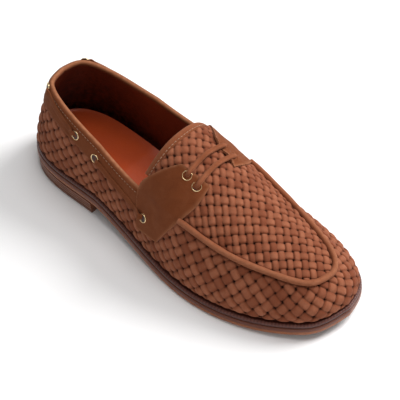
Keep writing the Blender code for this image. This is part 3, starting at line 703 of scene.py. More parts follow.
FLOOR_HALF = 6.0
floor_paint, tree, shader = blank_material("floor paper")
place = add_node(tree, "ShaderNodeTexCoord").outputs["Object"]
fleck = add_node(tree, "ShaderNodeTexNoise", Vector=place, Scale=40.0, Detail=2.0)
paper = mix_colours(tree, fleck.outputs[0], (0.94, 0.935, 0.935, 1), (0.96, 0.955, 0.955, 1))
tree.links.new(paper, shader.inputs["Base Color"])
shader.inputs["Roughness"].default_value = 0.9
corners = [(-1, -1), (1, -1), (1, 1), (-1, 1)]
floor = add_mesh("floor", [(x * FLOOR_HALF, y * FLOOR_HALF, 0) for x, y in corners],
                 [(0, 1, 2, 3)], [floor_paint])
print("camera at", tuple(round(c, 3) for c in camera.location))

# %% [markdown]
# The weave is flat suede strips, folded at their edges, passing over and under each
# other on the bias. Separate strips could be modelled one by one, but two hundred of
# them would cross in thousands of places. A height is enough: each family of strips is
# a wave with a rounded cross-section, the higher of the two shows, and between the strips
# the surface falls into a gap, painted dark as shade. Random widths keep it from looking printed.

# %% The weave as a height
SWING = 0.00085
PLUMP = 0.00095
GAP_FLOOR = -0.0012
rng = np.random.default_rng(11)
STRIP_WOBBLE = rng.uniform(-1, 1, (2, 256))
STRIP_WIDTH = rng.uniform(-1, 1, (2, 256))
PIECE_TINT = rng.uniform(0, 1, (2, 256, 256))


def strip_profile(place, pitch, family, fill):
    """Number of the strip, its rounded cross-section and whether a point is on it."""
    number = np.floor(place / pitch).astype(int)
    across = place / pitch - number - 0.5
    across = across + STRIP_WOBBLE[family][number % 256] * 0.035
    width = fill * (1 + STRIP_WIDTH[family][number % 256] * 0.05)
    edge = np.abs(2 * across) / width
    crown = np.sqrt(np.clip(1 - edge ** 3, 0, 1))
    return number, crown, edge


def plait(u, v, pitch_a, pitch_b, fill=0.86, bias=math.radians(45)):
    """Height, painted gap shade, tint and crown share of the weave at distances u along and v up the
    shoe.
    """
    a = u * math.sin(bias) + v * math.cos(bias)
    b = u * math.sin(bias) - v * math.cos(bias)
    i, crown_a, edge_a = strip_profile(a, pitch_a, 0, fill)
    j, crown_b, edge_b = strip_profile(b, pitch_b, 1, fill)

    def wave(place, pitch, parity):
        swing = np.cos(math.pi * (place / pitch - 0.5)) * (1 - 2 * (parity % 2))
        return np.sign(swing) * np.abs(swing) ** 0.75

    high_a = wave(b, pitch_b, i) * SWING + crown_a * PLUMP
    high_b = -wave(a, pitch_a, j) * SWING + crown_b * PLUMP
    high_a = np.where(edge_a < 1, high_a, GAP_FLOOR)
    high_b = np.where(edge_b < 1, high_b, GAP_FLOOR)
    height = np.maximum(high_a, high_b)
    on_a = high_a >= high_b
    tint = np.where(on_a, PIECE_TINT[0][i % 256, (j // 2) % 256],
                    PIECE_TINT[1][(i // 2) % 256, j % 256])
    crown = np.where(on_a, crown_a, crown_b)
    # Painted shade: the lower a point lies towards the gap floor, the darker its colour is painted.
    deep = np.clip((0.0012 - height) / 0.0011, 0, 1)
    # Last value: the strip's crown share, mixed paler later, partly rubbed nap and partly painted
    # highlight.
    return height, deep, tint ** 2 * 0.8, np.clip((crown - 0.75) * 3, 0, 1)


print("weave relief:", round((SWING + PLUMP) * 1000, 2), "mm")

# %% [markdown]
# The side wall goes all the way round, from the tucked groove above the welt, painted dark
# as shade, to the topline and, ahead of the wings, to the piped seam. The strips meet without
# a break at the toe, so a whole even number of them must fit in the way round. The lining is
# the second sheet of the same piece, so that the upper is a real hollow with an inside and an outside.

# %% Side wall and lining
ROUND_STEPS = 1000
WALL_LEVELS = 84
STRIPS_ROUND_A = 58
STRIPS_ROUND_B = 64
SEAM_GROOVE = 0.0016
THROAT = 0.585

TOPLINE_CUT = 0.0032
TOPLINE_END = 0.47

def below_roll(t, v):
    """v drawn down behind the wings, so that the raw rim ends inside the band's roll."""
    full = np.linalg.norm(wall(t, 1.0) - wall(t, 0.0), axis=-1)
    behind = np.clip((TOPLINE_END - column("top_at", t)) / 0.02, 0, 1)
    return v * (1 - behind * TOPLINE_CUT / full)

fine_t = np.linspace(-1, 1, 1600)
fine_path = wall(fine_t, 0.45)
run = np.concatenate([[0], np.cumsum(np.linalg.norm(np.diff(fine_path, axis=0), axis=1))])
girth_round = run[-1]
wall_u = np.linspace(0, girth_round, ROUND_STEPS, endpoint=False)
wall_t = np.interp(wall_u, run, fine_t)
levels = np.linspace(0, 1, WALL_LEVELS)
t_grid, v_grid = np.meshgrid(wall_t, levels, indexing="ij")
base = wall(t_grid, below_roll(t_grid, v_grid))
out = normals_of(base, ring=True)
tall = np.cumsum(np.linalg.norm(np.diff(base, axis=1, prepend=base[:, :1]), axis=2), axis=1)
side_u = np.repeat(wall_u[:, None], WALL_LEVELS, 1)
pitch_a = girth_round * math.sin(math.radians(45)) / STRIPS_ROUND_A
pitch_b = girth_round * math.sin(math.radians(45)) / STRIPS_ROUND_B
height, deep, tint, ridge = plait(side_u, tall, pitch_a, pitch_b)
top_at = column("top_at", t_grid)
on_seam = top_at > THROAT
from_rim = tall[:, -1:] - tall
tuck_low = np.clip(tall / 0.0030, 0, 1)
tuck_high = np.where(on_seam, np.clip(from_rim / 0.0035, 0, 1), np.clip(from_rim / 0.002, 0, 1))
height = height * tuck_low * tuck_high
sink = 0.0009 * (1 - tuck_low) ** 2 + np.where(on_seam, SEAM_GROOVE * (1 - tuck_high) ** 2, 0)
wall_outside = base + out * (height - sink)[..., None]
# Painted shade: the strip just above the welt is painted dark, as well as the gaps.
deep = np.maximum(deep, np.maximum(0.9 * (1 - tall / 0.0022), 0))
print("pitches mm:", round(pitch_a * 1000, 2), round(pitch_b * 1000, 2),
      "way round mm:", round(girth_round * 1000))

LINING_LEVELS = 24
lining_t = np.linspace(-1, 1, 300, endpoint=False)
t_in, v_in = np.meshgrid(lining_t, np.linspace(0, 1, LINING_LEVELS), indexing="ij")
lining_base = wall(t_in, below_roll(t_in, v_in))
# Painted shade: the lining is painted darker towards the bottom and towards the heel.
low_painted_shade = np.clip(1.15 - 1.2 * v_in, 0, 1) * 0.7
heel_painted_shade = np.clip((0.30 - column("top_at", t_in)) / 0.15, 0, 1) * 0.45
lining_painted_shade = np.clip(low_painted_shade + heel_painted_shade, 0, 1)
lining_out = normals_of(lining_base, ring=True)
wall_inside = lining_base - lining_out * WALL
upper_piece = add_sheets("upper_weave", [
    {"points": wall_outside, "options": {"ring": True, "flip": True},
     "numbers": {"deep": deep, "tint": tint, "edge": ridge}},
    {"points": wall_inside, "options": {"ring": True}, "finish": 1,
     "numbers": {"deep": lining_painted_shade}},
], [WOVEN, LINING])
settle(upper_piece, "woven_suede", "upper")

# %% [markdown]
# The vamp is the plug of weave inside the piped seam. On this shoe it carries on under
# the wings as the tongue, one piece of weave from the toe to the bound edge. Its grid
# runs from the tongue's back edge to the toe, and the distances over the surface, not
# the grid's own numbers, set where each strip lies.

# %% Vamp and tongue
VAMP_ROWS = 330
VAMP_COLUMNS = 170
VAMP_PITCH_A = 0.0053
VAMP_PITCH_B = 0.0064
TONGUE_BACK = 0.475
TONGUE_LEAN = 0.007


def tongue_back(w):
    """Back edge of the tongue, a share of the length; it leans forward at the ridge."""
    return TONGUE_BACK + TONGUE_LEAN / LENGTH * (1 - w * w)


TONGUE_RISE = 0.0022

def tongue_rise(at):
    """How far the tongue, and the wings on it, stand up behind the throat."""
    behind = np.clip((THROAT - at) / (THROAT - TONGUE_BACK), 0, 1)
    return TONGUE_RISE * behind ** 1.5

def vamp_grid(rows, columns):
    """Points over the vamp and tongue, with t, s and w of each."""
    w_line = np.linspace(-1, 1, columns)
    share = np.linspace(0, 1, rows)
    share_grid, w_grid = np.meshgrid(share, w_line, indexing="ij")
    t_start = turn_at_top(tongue_back(w_grid))
    t_here = t_start + (0.9985 - t_start) * share_grid ** 0.93
    at = np.interp(t_here, TURNS_FINE, TOP_FINE)
    behind = np.clip((THROAT - at) / (THROAT - TONGUE_BACK), 0, 1)
    w_here = w_grid * (1 - 0.07 * np.clip(behind * 6, 0, 1) - 0.10 * behind)
    side_t = np.where(w_here < 0, -t_here, t_here)
    return side_t, 2 - np.abs(w_here), w_here


side_t, s_grid, w_grid = vamp_grid(VAMP_ROWS, VAMP_COLUMNS)
vamp_base = skin(side_t, s_grid)
vamp_out = -normals_of(vamp_base)
vamp_out[-8:] = vamp_out[-9]
middle = VAMP_COLUMNS // 2
across_steps = np.linalg.norm(np.diff(vamp_base, axis=1), axis=2)
girth = np.concatenate([np.zeros((VAMP_ROWS, 1)), np.cumsum(across_steps, axis=1)], 1)
girth = girth - girth[:, middle:middle + 1]
along = vamp_base[..., 0] + 0.4
height, deep, tint, ridge = plait(along, girth + 0.4, VAMP_PITCH_A, VAMP_PITCH_B)
near_edge = np.minimum(girth - girth[:, :1], girth[:, -1:] - girth)
tuck = np.clip(near_edge / 0.003, 0, 1)
at_front = np.clip(vamp_base[..., 0] - (THROAT - 0.5) * LENGTH, 0, 1) > 0
tuck = np.where(at_front, tuck, 1.0)
sunk = np.where(at_front, SEAM_GROOVE * (1 - tuck) ** 2, 0.0)
rise = tongue_rise(np.interp(np.abs(side_t), TURNS_FINE, TOP_FINE))
vamp_top = vamp_base + vamp_out * (height * tuck - sunk + rise)[..., None]
vamp_under = vamp_base[::4, ::4] + vamp_out[::4, ::4] * (rise[::4, ::4] - WALL)[..., None]
# The stored numbers carry the painted gap shade, the strip tints and the paler crowns.
vamp_piece = add_sheets("vamp_weave", [
    {"points": vamp_top, "options": {}, "numbers": {"deep": deep, "tint": tint, "edge": ridge}},
    {"points": vamp_under, "options": {"flip": True}, "finish": 1},
], [WOVEN, LINING])
settle(vamp_piece, "woven_suede", "tongue")

# %% [markdown]
# The sole is built up like the real one: an insole inside, a welt round the upper, a
# leather outsole and a low stacked heel. Each is a stack of rings that follow the
# outline, closed by quads across the foot. The rings of the outsole's edge are close
# together where it rounds off, and carry the stain line between the two tones.

# %% Helper for sole layers
def ring_of(turns):
    return np.concatenate([turns, -turns[-2:0:-1]])


def plate(name, turns, levels, finishes, numbers=None):
    """Layer with rings from bottom to top; levels: (inset, height at x), caps across."""
    ring_t = ring_of(turns)
    count = len(ring_t)
    half = len(turns)
    rings = []
    for inset, height in levels:
        xy = outline(ring_t, inset)[0]
        rings.append(np.column_stack([xy, height(xy[:, 0])]))
    sides = grid_faces(len(levels), count, tube=True).tolist()
    sides = [quad[::-1] for quad in sides]
    caps = []
    for base, flip in ((0, False), ((len(levels) - 1) * count, True)):
        for k in range(half - 1):
            quad = [base + k, base + k + 1, base + (count - k - 1) % count,
                    base + (count - k) % count]
            quad = list(dict.fromkeys(quad))
            caps.append(quad[::-1] if flip else quad)
    stored = {label: np.repeat(values, count) for label, values in (numbers or {}).items()}
    return add_mesh(name, np.concatenate(rings), sides + caps, finishes, stored)


# %% Outsole
EDGE_ROUND = 0.0020
SOLE_PROFILE = (
    (0.0030, 0.0, 1.0), (0.0016, 0.0001, 1.0), (0.0007, 0.0005, 1.0), (0.0002, 0.0012, 1.0),
    (0.0, 0.0022, 1.0), (0.0, 0.0034, 0.95), (0.0001, 0.0039, 0.5), (0.0001, 0.0043, 0.0),
    (0.0, 0.0055, 0.0), (0.0001, 0.0064, 0.0), (0.0005, 0.0069, 0.1), (0.0014, 0.0070, 0.0),
)
sole_levels = [(inset, lambda x, up=up: underside(x) + up) for inset, up, tone in SOLE_PROFILE]
outsole = plate("outsole_leather", even_turns(200), sole_levels, [SOLE_EDGE],
                {"lower": [row[2] for row in SOLE_PROFILE]})
settle(outsole, "sole_leather", "outsole")

# %% [markdown]
# The welt's upper face shows small notches pressed in by a wheel, one every two and a
# half millimetres. They are part of the mesh: the grid is fine enough round the shoe to
# hold a shallow wave near the outer edge.

# %% Welt
WHEEL_STEP = 0.0026
WELT_RING = 1500
welt_fine = ring_of(even_turns(800))
welt_xy = outline(welt_fine, 0.0)[0]
closed_xy = np.vstack([welt_xy, welt_xy[:1]])
welt_run = np.concatenate([[0], np.cumsum(np.linalg.norm(np.diff(closed_xy, axis=0), axis=1))])
unrolled = np.concatenate([welt_fine[:801], 2 + welt_fine[801:], [2.0]])
welt_even = np.linspace(0, welt_run[-1], WELT_RING, endpoint=False)
welt_t = wrapped(np.interp(welt_even, welt_run, unrolled))
notches = round(welt_run[-1] / WHEEL_STEP)
notch = 0.5 - 0.5 * np.cos(2 * math.pi * notches * welt_even / welt_run[-1])
notch = notch ** 2
WELT_PROFILE = (
    (WELT_BREADTH, 0.0, 0.0), (0.0012, 0.0, 0.0), (0.0007, 0.0003, 0.0), (0.0004, 0.0010, 0.2),
    (0.0004, 0.0022, 0.6), (0.0006, 0.0029, 1.0), (0.0010, 0.0034, 1.0), (0.0017, 0.0036, 0.7),
    (0.0024, 0.0036, 0.2), (0.0031, 0.0035, 0.0), (0.0045, 0.0036, 0.0), (WELT_BREADTH, 0.0036, 0.0),
)
welt_points = np.zeros((WELT_RING, len(WELT_PROFILE), 3))
welt_edge = np.zeros((WELT_RING, len(WELT_PROFILE)))
for level, (inset, up, edge) in enumerate(WELT_PROFILE):
    xy = outline(welt_t, inset)[0]
    dip = 0.00035 * notch * edge
    welt_points[:, level, :2] = xy
    welt_points[:, level, 2] = underside(xy[:, 0]) + OUTSOLE_THICK + CLEAR + up - dip
    welt_edge[:, level] = edge * (1 - notch) * 0.8
welt = add_sheets("welt_leather", [
    {"points": welt_points, "options": {"ring": True, "tube": True},
     "numbers": {"edge": welt_edge}}], [WELT_LEATHER])
settle(welt, "welt_leather", "welt")

# %% [markdown]
# The insole is a thin glossy sheet that dishes a little at the heel and curls up where
# it meets the lining. A grid across the foot gives it that cup.

# %% Insole
INSOLE_ROWS = 120
INSOLE_COLUMNS = 41
insole_inset = WELT_SHELF_TOE + WALL + 2 * CLEAR + 0.0012
insole_turns = even_turns(INSOLE_ROWS)
left = outline(-insole_turns, insole_inset)[0]
right = outline(insole_turns, insole_inset)[0]
cross = np.linspace(0, 1, INSOLE_COLUMNS)
insole_xy = left[:, None] + (right - left)[:, None] * cross[None, :, None]
rim_share = np.abs(2 * cross - 1)[None, :] ** 8
floor_z = feather(insole_xy[..., 0]) + CLEAR
cup = 0.0016 * rim_share - 0.0004 * (1 - np.abs(2 * cross - 1)[None, :] ** 2)
insole_top = np.dstack([insole_xy, floor_z + INSOLE_THICK + cup])
insole_low = np.dstack([insole_xy, floor_z])
insole = add_sheets("insole_leather_sheet", [
    {"points": insole_top, "options": {"flip": False}},
    {"points": insole_low, "options": {"flip": True}},
], [INSOLE_LEATHER])
settle(insole, "insole_leather", "insole")

# %% [markdown]
# The heel is a stack of leather lifts with a thin top lift of rubber. Shallow lines
# between the lifts show at the edge. The block is cut straight at the breast.

# %% Heel
HEEL_TAPER = 0.0012
HEEL_LIFTS = 3


def heel_block(name, levels, finishes, numbers):
    """Heel-shaped block; levels: (inset, height at x)."""
    turns = even_turns(60, 0.0, float(turn(HEEL_BREAST)))
    ring = np.concatenate([-turns[::-1], turns[1:]])
    count = len(ring)
    rings = []
    for inset, height in levels:
        xy = outline(ring, inset)[0]
        xy[0, 0] = xy[-1, 0] = (HEEL_BREAST - 0.5) * LENGTH
        rings.append(np.column_stack([xy, height(xy[:, 0])]))
    faces = [quad[::-1] for quad in grid_faces(len(levels), count).tolist()]
    for level in range(len(levels) - 1):
        a = level * count
        faces.append([a, a + count - 1, a + 2 * count - 1, a + count][::-1])
    for base, flip in ((0, False), ((len(levels) - 1) * count, True)):
        for k in range(count // 2):
            quad = [base + k, base + k + 1, base + count - 2 - k, base + count - 1 - k]
            quad = list(dict.fromkeys(quad))
            faces.append(quad[::-1] if flip else quad)
    stored = {label: np.repeat(values, count) for label, values in numbers.items()}
    made = add_mesh(name, np.concatenate(rings), faces, finishes, stored)
    made.data.set_sharp_from_angle(angle=math.radians(50))
    return made


def stack_height(share):
    """Height at x of a level of the stack, which thickens with the outsole's slope."""
    bottom = TOP_LIFT + CLEAR
    return lambda x: bottom + (underside(x) - CLEAR - bottom) * share


stack_levels = []
stack_edges = []
for lift in range(HEEL_LIFTS):
    low = lift / HEEL_LIFTS
    high = (lift + 1) / HEEL_LIFTS
    for share, groove in ((low, 0.00035), (low + 0.04, 0.0), (high - 0.04, 0.0)):
        taper = HEEL_TAPER + (0.0004 - HEEL_TAPER) * share
        stack_levels.append((taper + groove, stack_height(share)))
        stack_edges.append(0.0 if groove else 0.8)
stack_levels.append((0.0004 + 0.00035, stack_height(1.0)))
stack_edges.append(0.0)
heel_stack = heel_block("heel_lifts", stack_levels, [HEEL_LEATHER],
                        {"edge": np.array(stack_edges)})
settle(heel_stack, "heel_leather", "heel_stack")

lift_levels = [(HEEL_TAPER + 0.0009, lambda x: 0 * x), (HEEL_TAPER + 0.0004, lambda x: 0 * x + 0.0004),
               (HEEL_TAPER, lambda x: 0 * x + 0.0010), (HEEL_TAPER, lambda x: 0 * x + TOP_LIFT)]
top_lift = heel_block("heel_rubber_lift", lift_levels, [RUBBER], {"edge": np.zeros(4)})
settle(top_lift, "heel_rubber", "heel_top_lift")

# %% [markdown]
# A cord, a piping bead, a thong and a row of stitches are all one idea: a small section
# carried along a path that lies on the shoe. The sweep below keeps the section upright
# on the surface by giving it the surface's own normal at each step.

# %% Helpers for sweeps and stitches
def frames_of(path, up):
    """Unit vectors along, sideways and up at each point of a path."""
    along = unit(np.gradient(path, axis=0))
    side = unit(np.cross(along, up))
    return along, side, np.cross(side, along)


def sweep(path, up, profile):
    """Grid of points: the profile's (side, up) pairs carried along the path."""
    along, side, top = frames_of(path, up)
    profile = profile if profile.ndim == 3 else np.repeat(profile[None], len(path), 0)
    return (path[:, None] + side[:, None] * profile[..., 0:1] + top[:, None] * profile[..., 1:2])


def oval(width, thick, count=14, squareness=2.6):
    """Rounded section with its middle on the path."""
    angle = np.linspace(0, 2 * math.pi, count, endpoint=False)
    power = 2 / squareness
    x = np.sign(np.cos(angle)) * np.abs(np.cos(angle)) ** power * width / 2
    y = np.sign(np.sin(angle)) * np.abs(np.sin(angle)) ** power * thick / 2
    return np.stack([x, y], -1)


def curve_through(points, count):
    """Even points on a smooth curve through the given ones."""
    points = np.asarray(points, float)
    knots = np.concatenate([[0], np.cumsum(np.linalg.norm(np.diff(points, axis=0), axis=1))])
    at = np.linspace(0, knots[-1], count)
    return np.stack([smooth_through(knots, points[:, k], at) for k in range(3)], -1)


def stitch_mesh(name, rows, length=0.0022, thick=0.00055, gap=0.0030):
    """Stitches along paths; rows: (path, up). Each is a small arched capsule."""
    sheets = []
    ring = 6
    for path, up in rows:
        run = np.concatenate([[0], np.cumsum(np.linalg.norm(np.diff(path, axis=0), axis=1))])
        count = int(run[-1] / gap)
        for k in range(count):
            middle = (k + 0.5) * run[-1] / count
            at = middle + np.linspace(-0.5, 0.5, 7) * length
            line = np.stack([np.interp(at, run, path[:, c]) for c in range(3)], -1)
            lift = np.stack([np.interp(at, run, up[:, c]) for c in range(3)], -1)
            arch = np.cos(np.linspace(-1, 1, 7) * math.pi / 2)
            line = line + lift * (arch * thick * 0.75 - thick * 0.30)[:, None]
            size = np.sqrt(np.clip(1 - np.linspace(-1, 1, 7) ** 4, 0.02, 1))
            section = oval(thick, thick, ring, 2.0)[None] * size[:, None, None]
            sheets.append({"points": sweep(line, lift, section), "options": {"tube": True}})
    return add_sheets(name, sheets, [THREAD])


print("sweep helpers ready")

# %% [markdown]
# The piping is a strip of suede folded over a cord and caught in the seam. It stands up
# as a bead about four and a half millimetres across. It runs in a U from under one wing,
# round the toe, to the other.

# %% Piping
PIPING_RADIUS = 0.0022
BEAD_SEAT = 1.65
WING_COLUMNS = ("rear_at", "rear_girth", "front_at", "front_girth")
WING_EDGES = (
    (0.474, 0.34, 0.549, 0.44),
    (0.463, 0.66, 0.571, 0.68),
    (0.456, 1.00, 0.594, 0.95),
    (0.484, 1.21, 0.617, 1.27),
    (0.540, 1.58, 0.616, 1.66),
)
bead_start = turn_at_top(WING_EDGES[2][2] + 0.001)
bead_half = 1 - (1 - np.linspace(0, 1, 160)) ** 1.25
bead_turns = bead_start + (1 - bead_start) * bead_half
bead_t = np.concatenate([-bead_turns, bead_turns[::-1][1:]])
bead_up = seamless_normal(bead_t, 1.0)
for _ in range(3):
    bead_up[1:-1] = unit(bead_up[:-2] + bead_up[1:-1] * 2 + bead_up[2:])
seam_line = skin(bead_t, 1.0) - bead_up * SEAM_GROOVE
seam_line = curve_through(seam_line[::3], 320)
knots_old = np.linspace(0, 1, len(bead_up))
bead_up = unit(np.stack([np.interp(np.linspace(0, 1, 320), knots_old, bead_up[:, c])
                         for c in range(3)], -1))
bead_path = seam_line + bead_up * (PIPING_RADIUS + CLEAR) * BEAD_SEAT * 0.93
squeeze = 1 + 0.035 * np.sin(np.linspace(0, 55, 320)) + 0.025 * np.sin(np.linspace(0, 131, 320))
bead_section = oval(PIPING_RADIUS * 2.1, PIPING_RADIUS * 2.0, 16, 2.0)[None] * squeeze[:, None, None]
angle = np.linspace(0, 2 * math.pi, 16, endpoint=False)
bead_rub = np.repeat(np.clip(np.sin(angle), 0, 1)[None] ** 2, 320, 0)
piping = add_sheets("piping_bead", [
    {"points": sweep(bead_path, bead_up, bead_section), "options": {"tube": True},
     "numbers": {"edge": bead_rub}},
], [PIPING_SUEDE])
settle(piping, "suede", "moc_piping")

# %% [markdown]
# The wings are the two suede flaps that carry the lace bars. They lie over the wall, the
# seam and the vamp in one sheet, and their edges are cut, not turned, so a small bevel
# rounds them. The suede has settled in soft waves, and the inner wing's free edge
# lifts between the bars.

# %% Wings
WING_THICK = 0.0016
WING_ACROSS = 48
WING_UP = 110
WEAVE_RELIEF = 0.0006
# Soft troughs and ridges: along (0 rear, 1 front), up (0 bottom, 1 top), length, width
# and height in metres, and the angle of the crease from the way up.
WING_CREASES = (
    (0.25, 0.42, 0.020, 0.0035, -0.0005, 25),
    (0.60, 0.30, 0.016, 0.0030, -0.0004, -15),
    (0.55, 0.62, 0.018, 0.0040, 0.0005, 35),
    (0.85, 0.70, 0.014, 0.0030, -0.0004, 10),
)


def wing_point(p, q):
    """t (always positive) and girth at p from rear to front, q from bottom to top."""
    knots = np.linspace(0, 1, len(WING_EDGES))
    edge = {name: smooth_through(knots, [row[i] for row in WING_EDGES], q)
            for i, name in enumerate(WING_COLUMNS)}
    at = edge["rear_at"] + (edge["front_at"] - edge["rear_at"]) * p
    girth = edge["rear_girth"] + (edge["front_girth"] - edge["rear_girth"]) * p
    return turn_at_top(at), girth


def crease_height(p, q, creases, breadth, height):
    """Sum of soft creases over a piece that is breadth by height in size."""
    total = np.zeros_like(p)
    for at_p, at_q, length, width, depth, angle in creases:
        along = (q - at_q) * height
        side = (p - at_p) * breadth
        turned = math.radians(angle)
        run = along * math.cos(turned) + side * math.sin(turned)
        off = side * math.cos(turned) - along * math.sin(turned)
        total += depth * np.exp(-(off / width) ** 2 - (run / length * 2) ** 4)
    return total


def slab_sheets(inner, outer, numbers):
    """Sheets of a closed slab: its two faces and the four edges between them."""
    edges = np.stack([inner, outer])
    rim = [edges[:, 0], edges[:, -1, :][:, ::-1], edges[:, :, 0][:, ::-1], edges[:, :, -1]]
    flat = [{"points": side, "options": {"flip": True},
             "numbers": {"edge": np.ones(side.shape[:2])}} for side in rim]
    return [{"points": outer, "numbers": {"edge": numbers}},
            {"points": inner, "options": {"flip": True}, "finish": 1}] + flat


def welded(piece, bevel):
    """Join the sheets' borders and round the edges."""
    weld = piece.modifiers.new("weld", "WELD")
    weld.merge_threshold = 0.00002
    rounding = piece.modifiers.new("rounded edge", "BEVEL")
    rounding.width = bevel
    rounding.segments = 3
    rounding.limit_method = "ANGLE"
    rounding.angle_limit = math.radians(50)
    rounding.harden_normals = False


p_grid, q_grid = np.meshgrid(np.linspace(0, 1, WING_ACROSS), np.linspace(0, 1, WING_UP),
                             indexing="ij")
wing_t, wing_girth = wing_point(p_grid, q_grid)
wing_lift = WEAVE_RELIEF + 2 * CLEAR
wing_rub = np.maximum.reduce([
    np.clip(1 - p_grid * 14, 0, 1) * (q_grid > 0.5), np.clip(1 - (1 - p_grid) * 14, 0, 1),
    np.clip(1 - q_grid * 30, 0, 1), np.clip(1 - (1 - q_grid) * 30, 0, 1)]) * 0.55
for side, sign in (("outer", -1), ("inner", 1)):
    ground = skin(sign * wing_t, wing_girth)
    up = seamless_normal(sign * wing_t, wing_girth)
    wave = crease_height(p_grid, q_grid, WING_CREASES, 0.030, 0.065)
    free = np.clip((q_grid - 0.80) / 0.20, 0, 1) ** 2
    flutter = 0.0007 + 0.0008 * np.cos(p_grid * 2 * math.pi * 1.5)
    on_tongue = np.clip((wing_girth - 1) / 0.2, 0, 1)
    on_tongue = on_tongue * tongue_rise(np.interp(wing_t, TURNS_FINE, TOP_FINE))
    raised = wave + free * flutter * (1.4 if side == "inner" else 0.7) + on_tongue
    inner = ground + up * (wing_lift + raised)[..., None]
    outer = ground + up * (wing_lift + WING_THICK + raised)[..., None]
    rub = wing_rub
    if sign < 0:
        inner, outer, rub = inner[::-1], outer[::-1], rub[::-1]
    wing = add_sheets(f"wing_{side}_suede", slab_sheets(inner, outer, rub), [SUEDE, LINING])
    welded(wing, 0.0005)
    settle(wing, "suede", f"wing_{side}")

# %% [markdown]
# The collar band is suede as well. Its lower edge is cut and sewn to the weave, and its
# upper edge is rolled over the topline and turned down inside, which is why the topline
# reads as a paler, rounded line. One profile follows the lower edge, the outside,
# the roll and the inside.

# %% Collar band
BAND_THICK = 0.0013
BAND_WIDTH = 0.0195
BAND_STEPS = 460


def band_lower(t):
    """Girth of the band's lower edge, BAND_WIDTH below the topline."""
    return 1 - BAND_WIDTH / np.linalg.norm(wall(t, 1.0) - wall(t, 0.0), axis=-1)


def band_end(s):
    """t at which the band stops behind the wing, at girth s."""
    knots = np.linspace(0, 1, len(WING_EDGES))
    climb = np.linspace(0, 1, 60)
    rear_at = smooth_through(knots, [row[0] for row in WING_EDGES], climb)
    rear_girth = smooth_through(knots, [row[1] for row in WING_EDGES], climb)
    return turn_at_top(np.interp(s, rear_girth, rear_at) - 3 * CLEAR / LENGTH)


BAND_LIFT = WEAVE_RELIEF + CLEAR + BAND_THICK
ROLL_TOP = -0.0014
ROLL_OUT = 0.0016
# Distance below the topline, as a share of the band's width, and how far out it stands.
BAND_PROFILE = ((1.0, -0.0008), (1.0, 0.0010), (0.992, 0.0018), (0.97, BAND_LIFT),
                (0.85, BAND_LIFT), (0.70, BAND_LIFT + 0.0001), (0.55, BAND_LIFT + 0.0001),
                (0.42, BAND_LIFT), (0.32, BAND_LIFT - 0.0002), (0.27, BAND_LIFT - 0.0005),
                (0.24, BAND_LIFT - 0.0001), (0.20, BAND_LIFT),
                (0.17, BAND_LIFT - 0.0003))
share = np.linspace(-1, 1, BAND_STEPS)
band_points = []
band_rub = []
for depth, lift in BAND_PROFILE:
    girth_guess = 1 - depth * (1 - band_lower(share * 0.45))
    t = share * band_end(girth_guess)
    s = 1 - depth * (1 - band_lower(t))
    band_points.append(skin(t, s) + skin_normal(t, np.minimum(s, 0.97)) * lift)
    band_rub.append(np.full(BAND_STEPS, 0.7 if depth > 0.98 else 0.0))
t = share * band_end(1.0)
rim = skin(t, 1.0)
rim_out = skin_normal(t, 0.97)
rim_up = unit(wall(t, 1.0) - wall(t, 0.9))
roll_in = -(WALL + 0.0002)
roll_radius = (ROLL_OUT - roll_in) / 2
roll_middle = rim + rim_out * (ROLL_OUT + roll_in) / 2 + rim_up * (ROLL_TOP - roll_radius)
for angle in np.linspace(0.10, 1.0, 9) * math.pi:
    band_points.append(roll_middle + rim_out * roll_radius * math.cos(angle)
                       + rim_up * roll_radius * math.sin(angle))
    band_rub.append(np.full(BAND_STEPS, math.sin(angle) ** 2))
for drop in (0.0042, 0.0050):
    inside = roll_in if drop < 0.0045 else roll_in + 0.0008
    band_points.append(rim + rim_out * inside - rim_up * drop)
    band_rub.append(np.zeros(BAND_STEPS))
band_grid = np.stack(band_points, 1)
band = add_sheets("collar_band_suede", [
    {"points": band_grid, "options": {"flip": True}, "numbers": {"edge": np.stack(band_rub, 1)}},
], [SUEDE])
settle(band, "suede", "collar_band")

# %% [markdown]
# The back edge of the tongue is bound with a folded strip of suede. A rounded section is
# swept along the edge, fat enough to swallow the weave.

# %% Tongue binding
BINDING_THICK = 0.0032
BINDING_WIDTH = 0.0065
binding_w = np.linspace(-0.83, 0.83, 120)
rows = []
rub = []
for angle in np.linspace(0, 2 * math.pi, 18, endpoint=False):
    back = BINDING_WIDTH * (0.5 - 0.5 * math.copysign(abs(math.cos(angle)) ** 0.7, math.cos(angle)))
    puff = math.copysign(abs(math.sin(angle)) ** 0.8, math.sin(angle)) * BINDING_THICK / 2
    t = turn_at_top(tongue_back(binding_w) - (0.0006 + back) / LENGTH)
    rise = tongue_rise(np.interp(t, TURNS_FINE, TOP_FINE))
    side_t = np.where(binding_w < 0, -t, t)
    s = 2 - np.abs(binding_w)
    up = skin_normal(side_t, s)
    rows.append(skin(side_t, s) + up * (puff - WALL / 2 + 0.0004 + rise)[:, None])
    rub.append(np.full(120, max(0.0, -math.cos(angle)) * 0.8))
binding = add_sheets("tongue_binding_suede", [
    {"points": np.stack(rows, 1), "options": {"tube": True, "flip": True},
     "numbers": {"edge": np.stack(rub, 1)}},
], [PIPING_SUEDE])
settle(binding, "suede", "tongue_binding")

# %% [markdown]
# The eyelets are thin rolled brass rings pressed through the suede. A ring turned from a
# small profile is the obvious way: the profile runs from under the flange, over the roll
# and down the barrel, and ends in a disc painted near-black as the shade inside the hole,
# where the thong goes through.

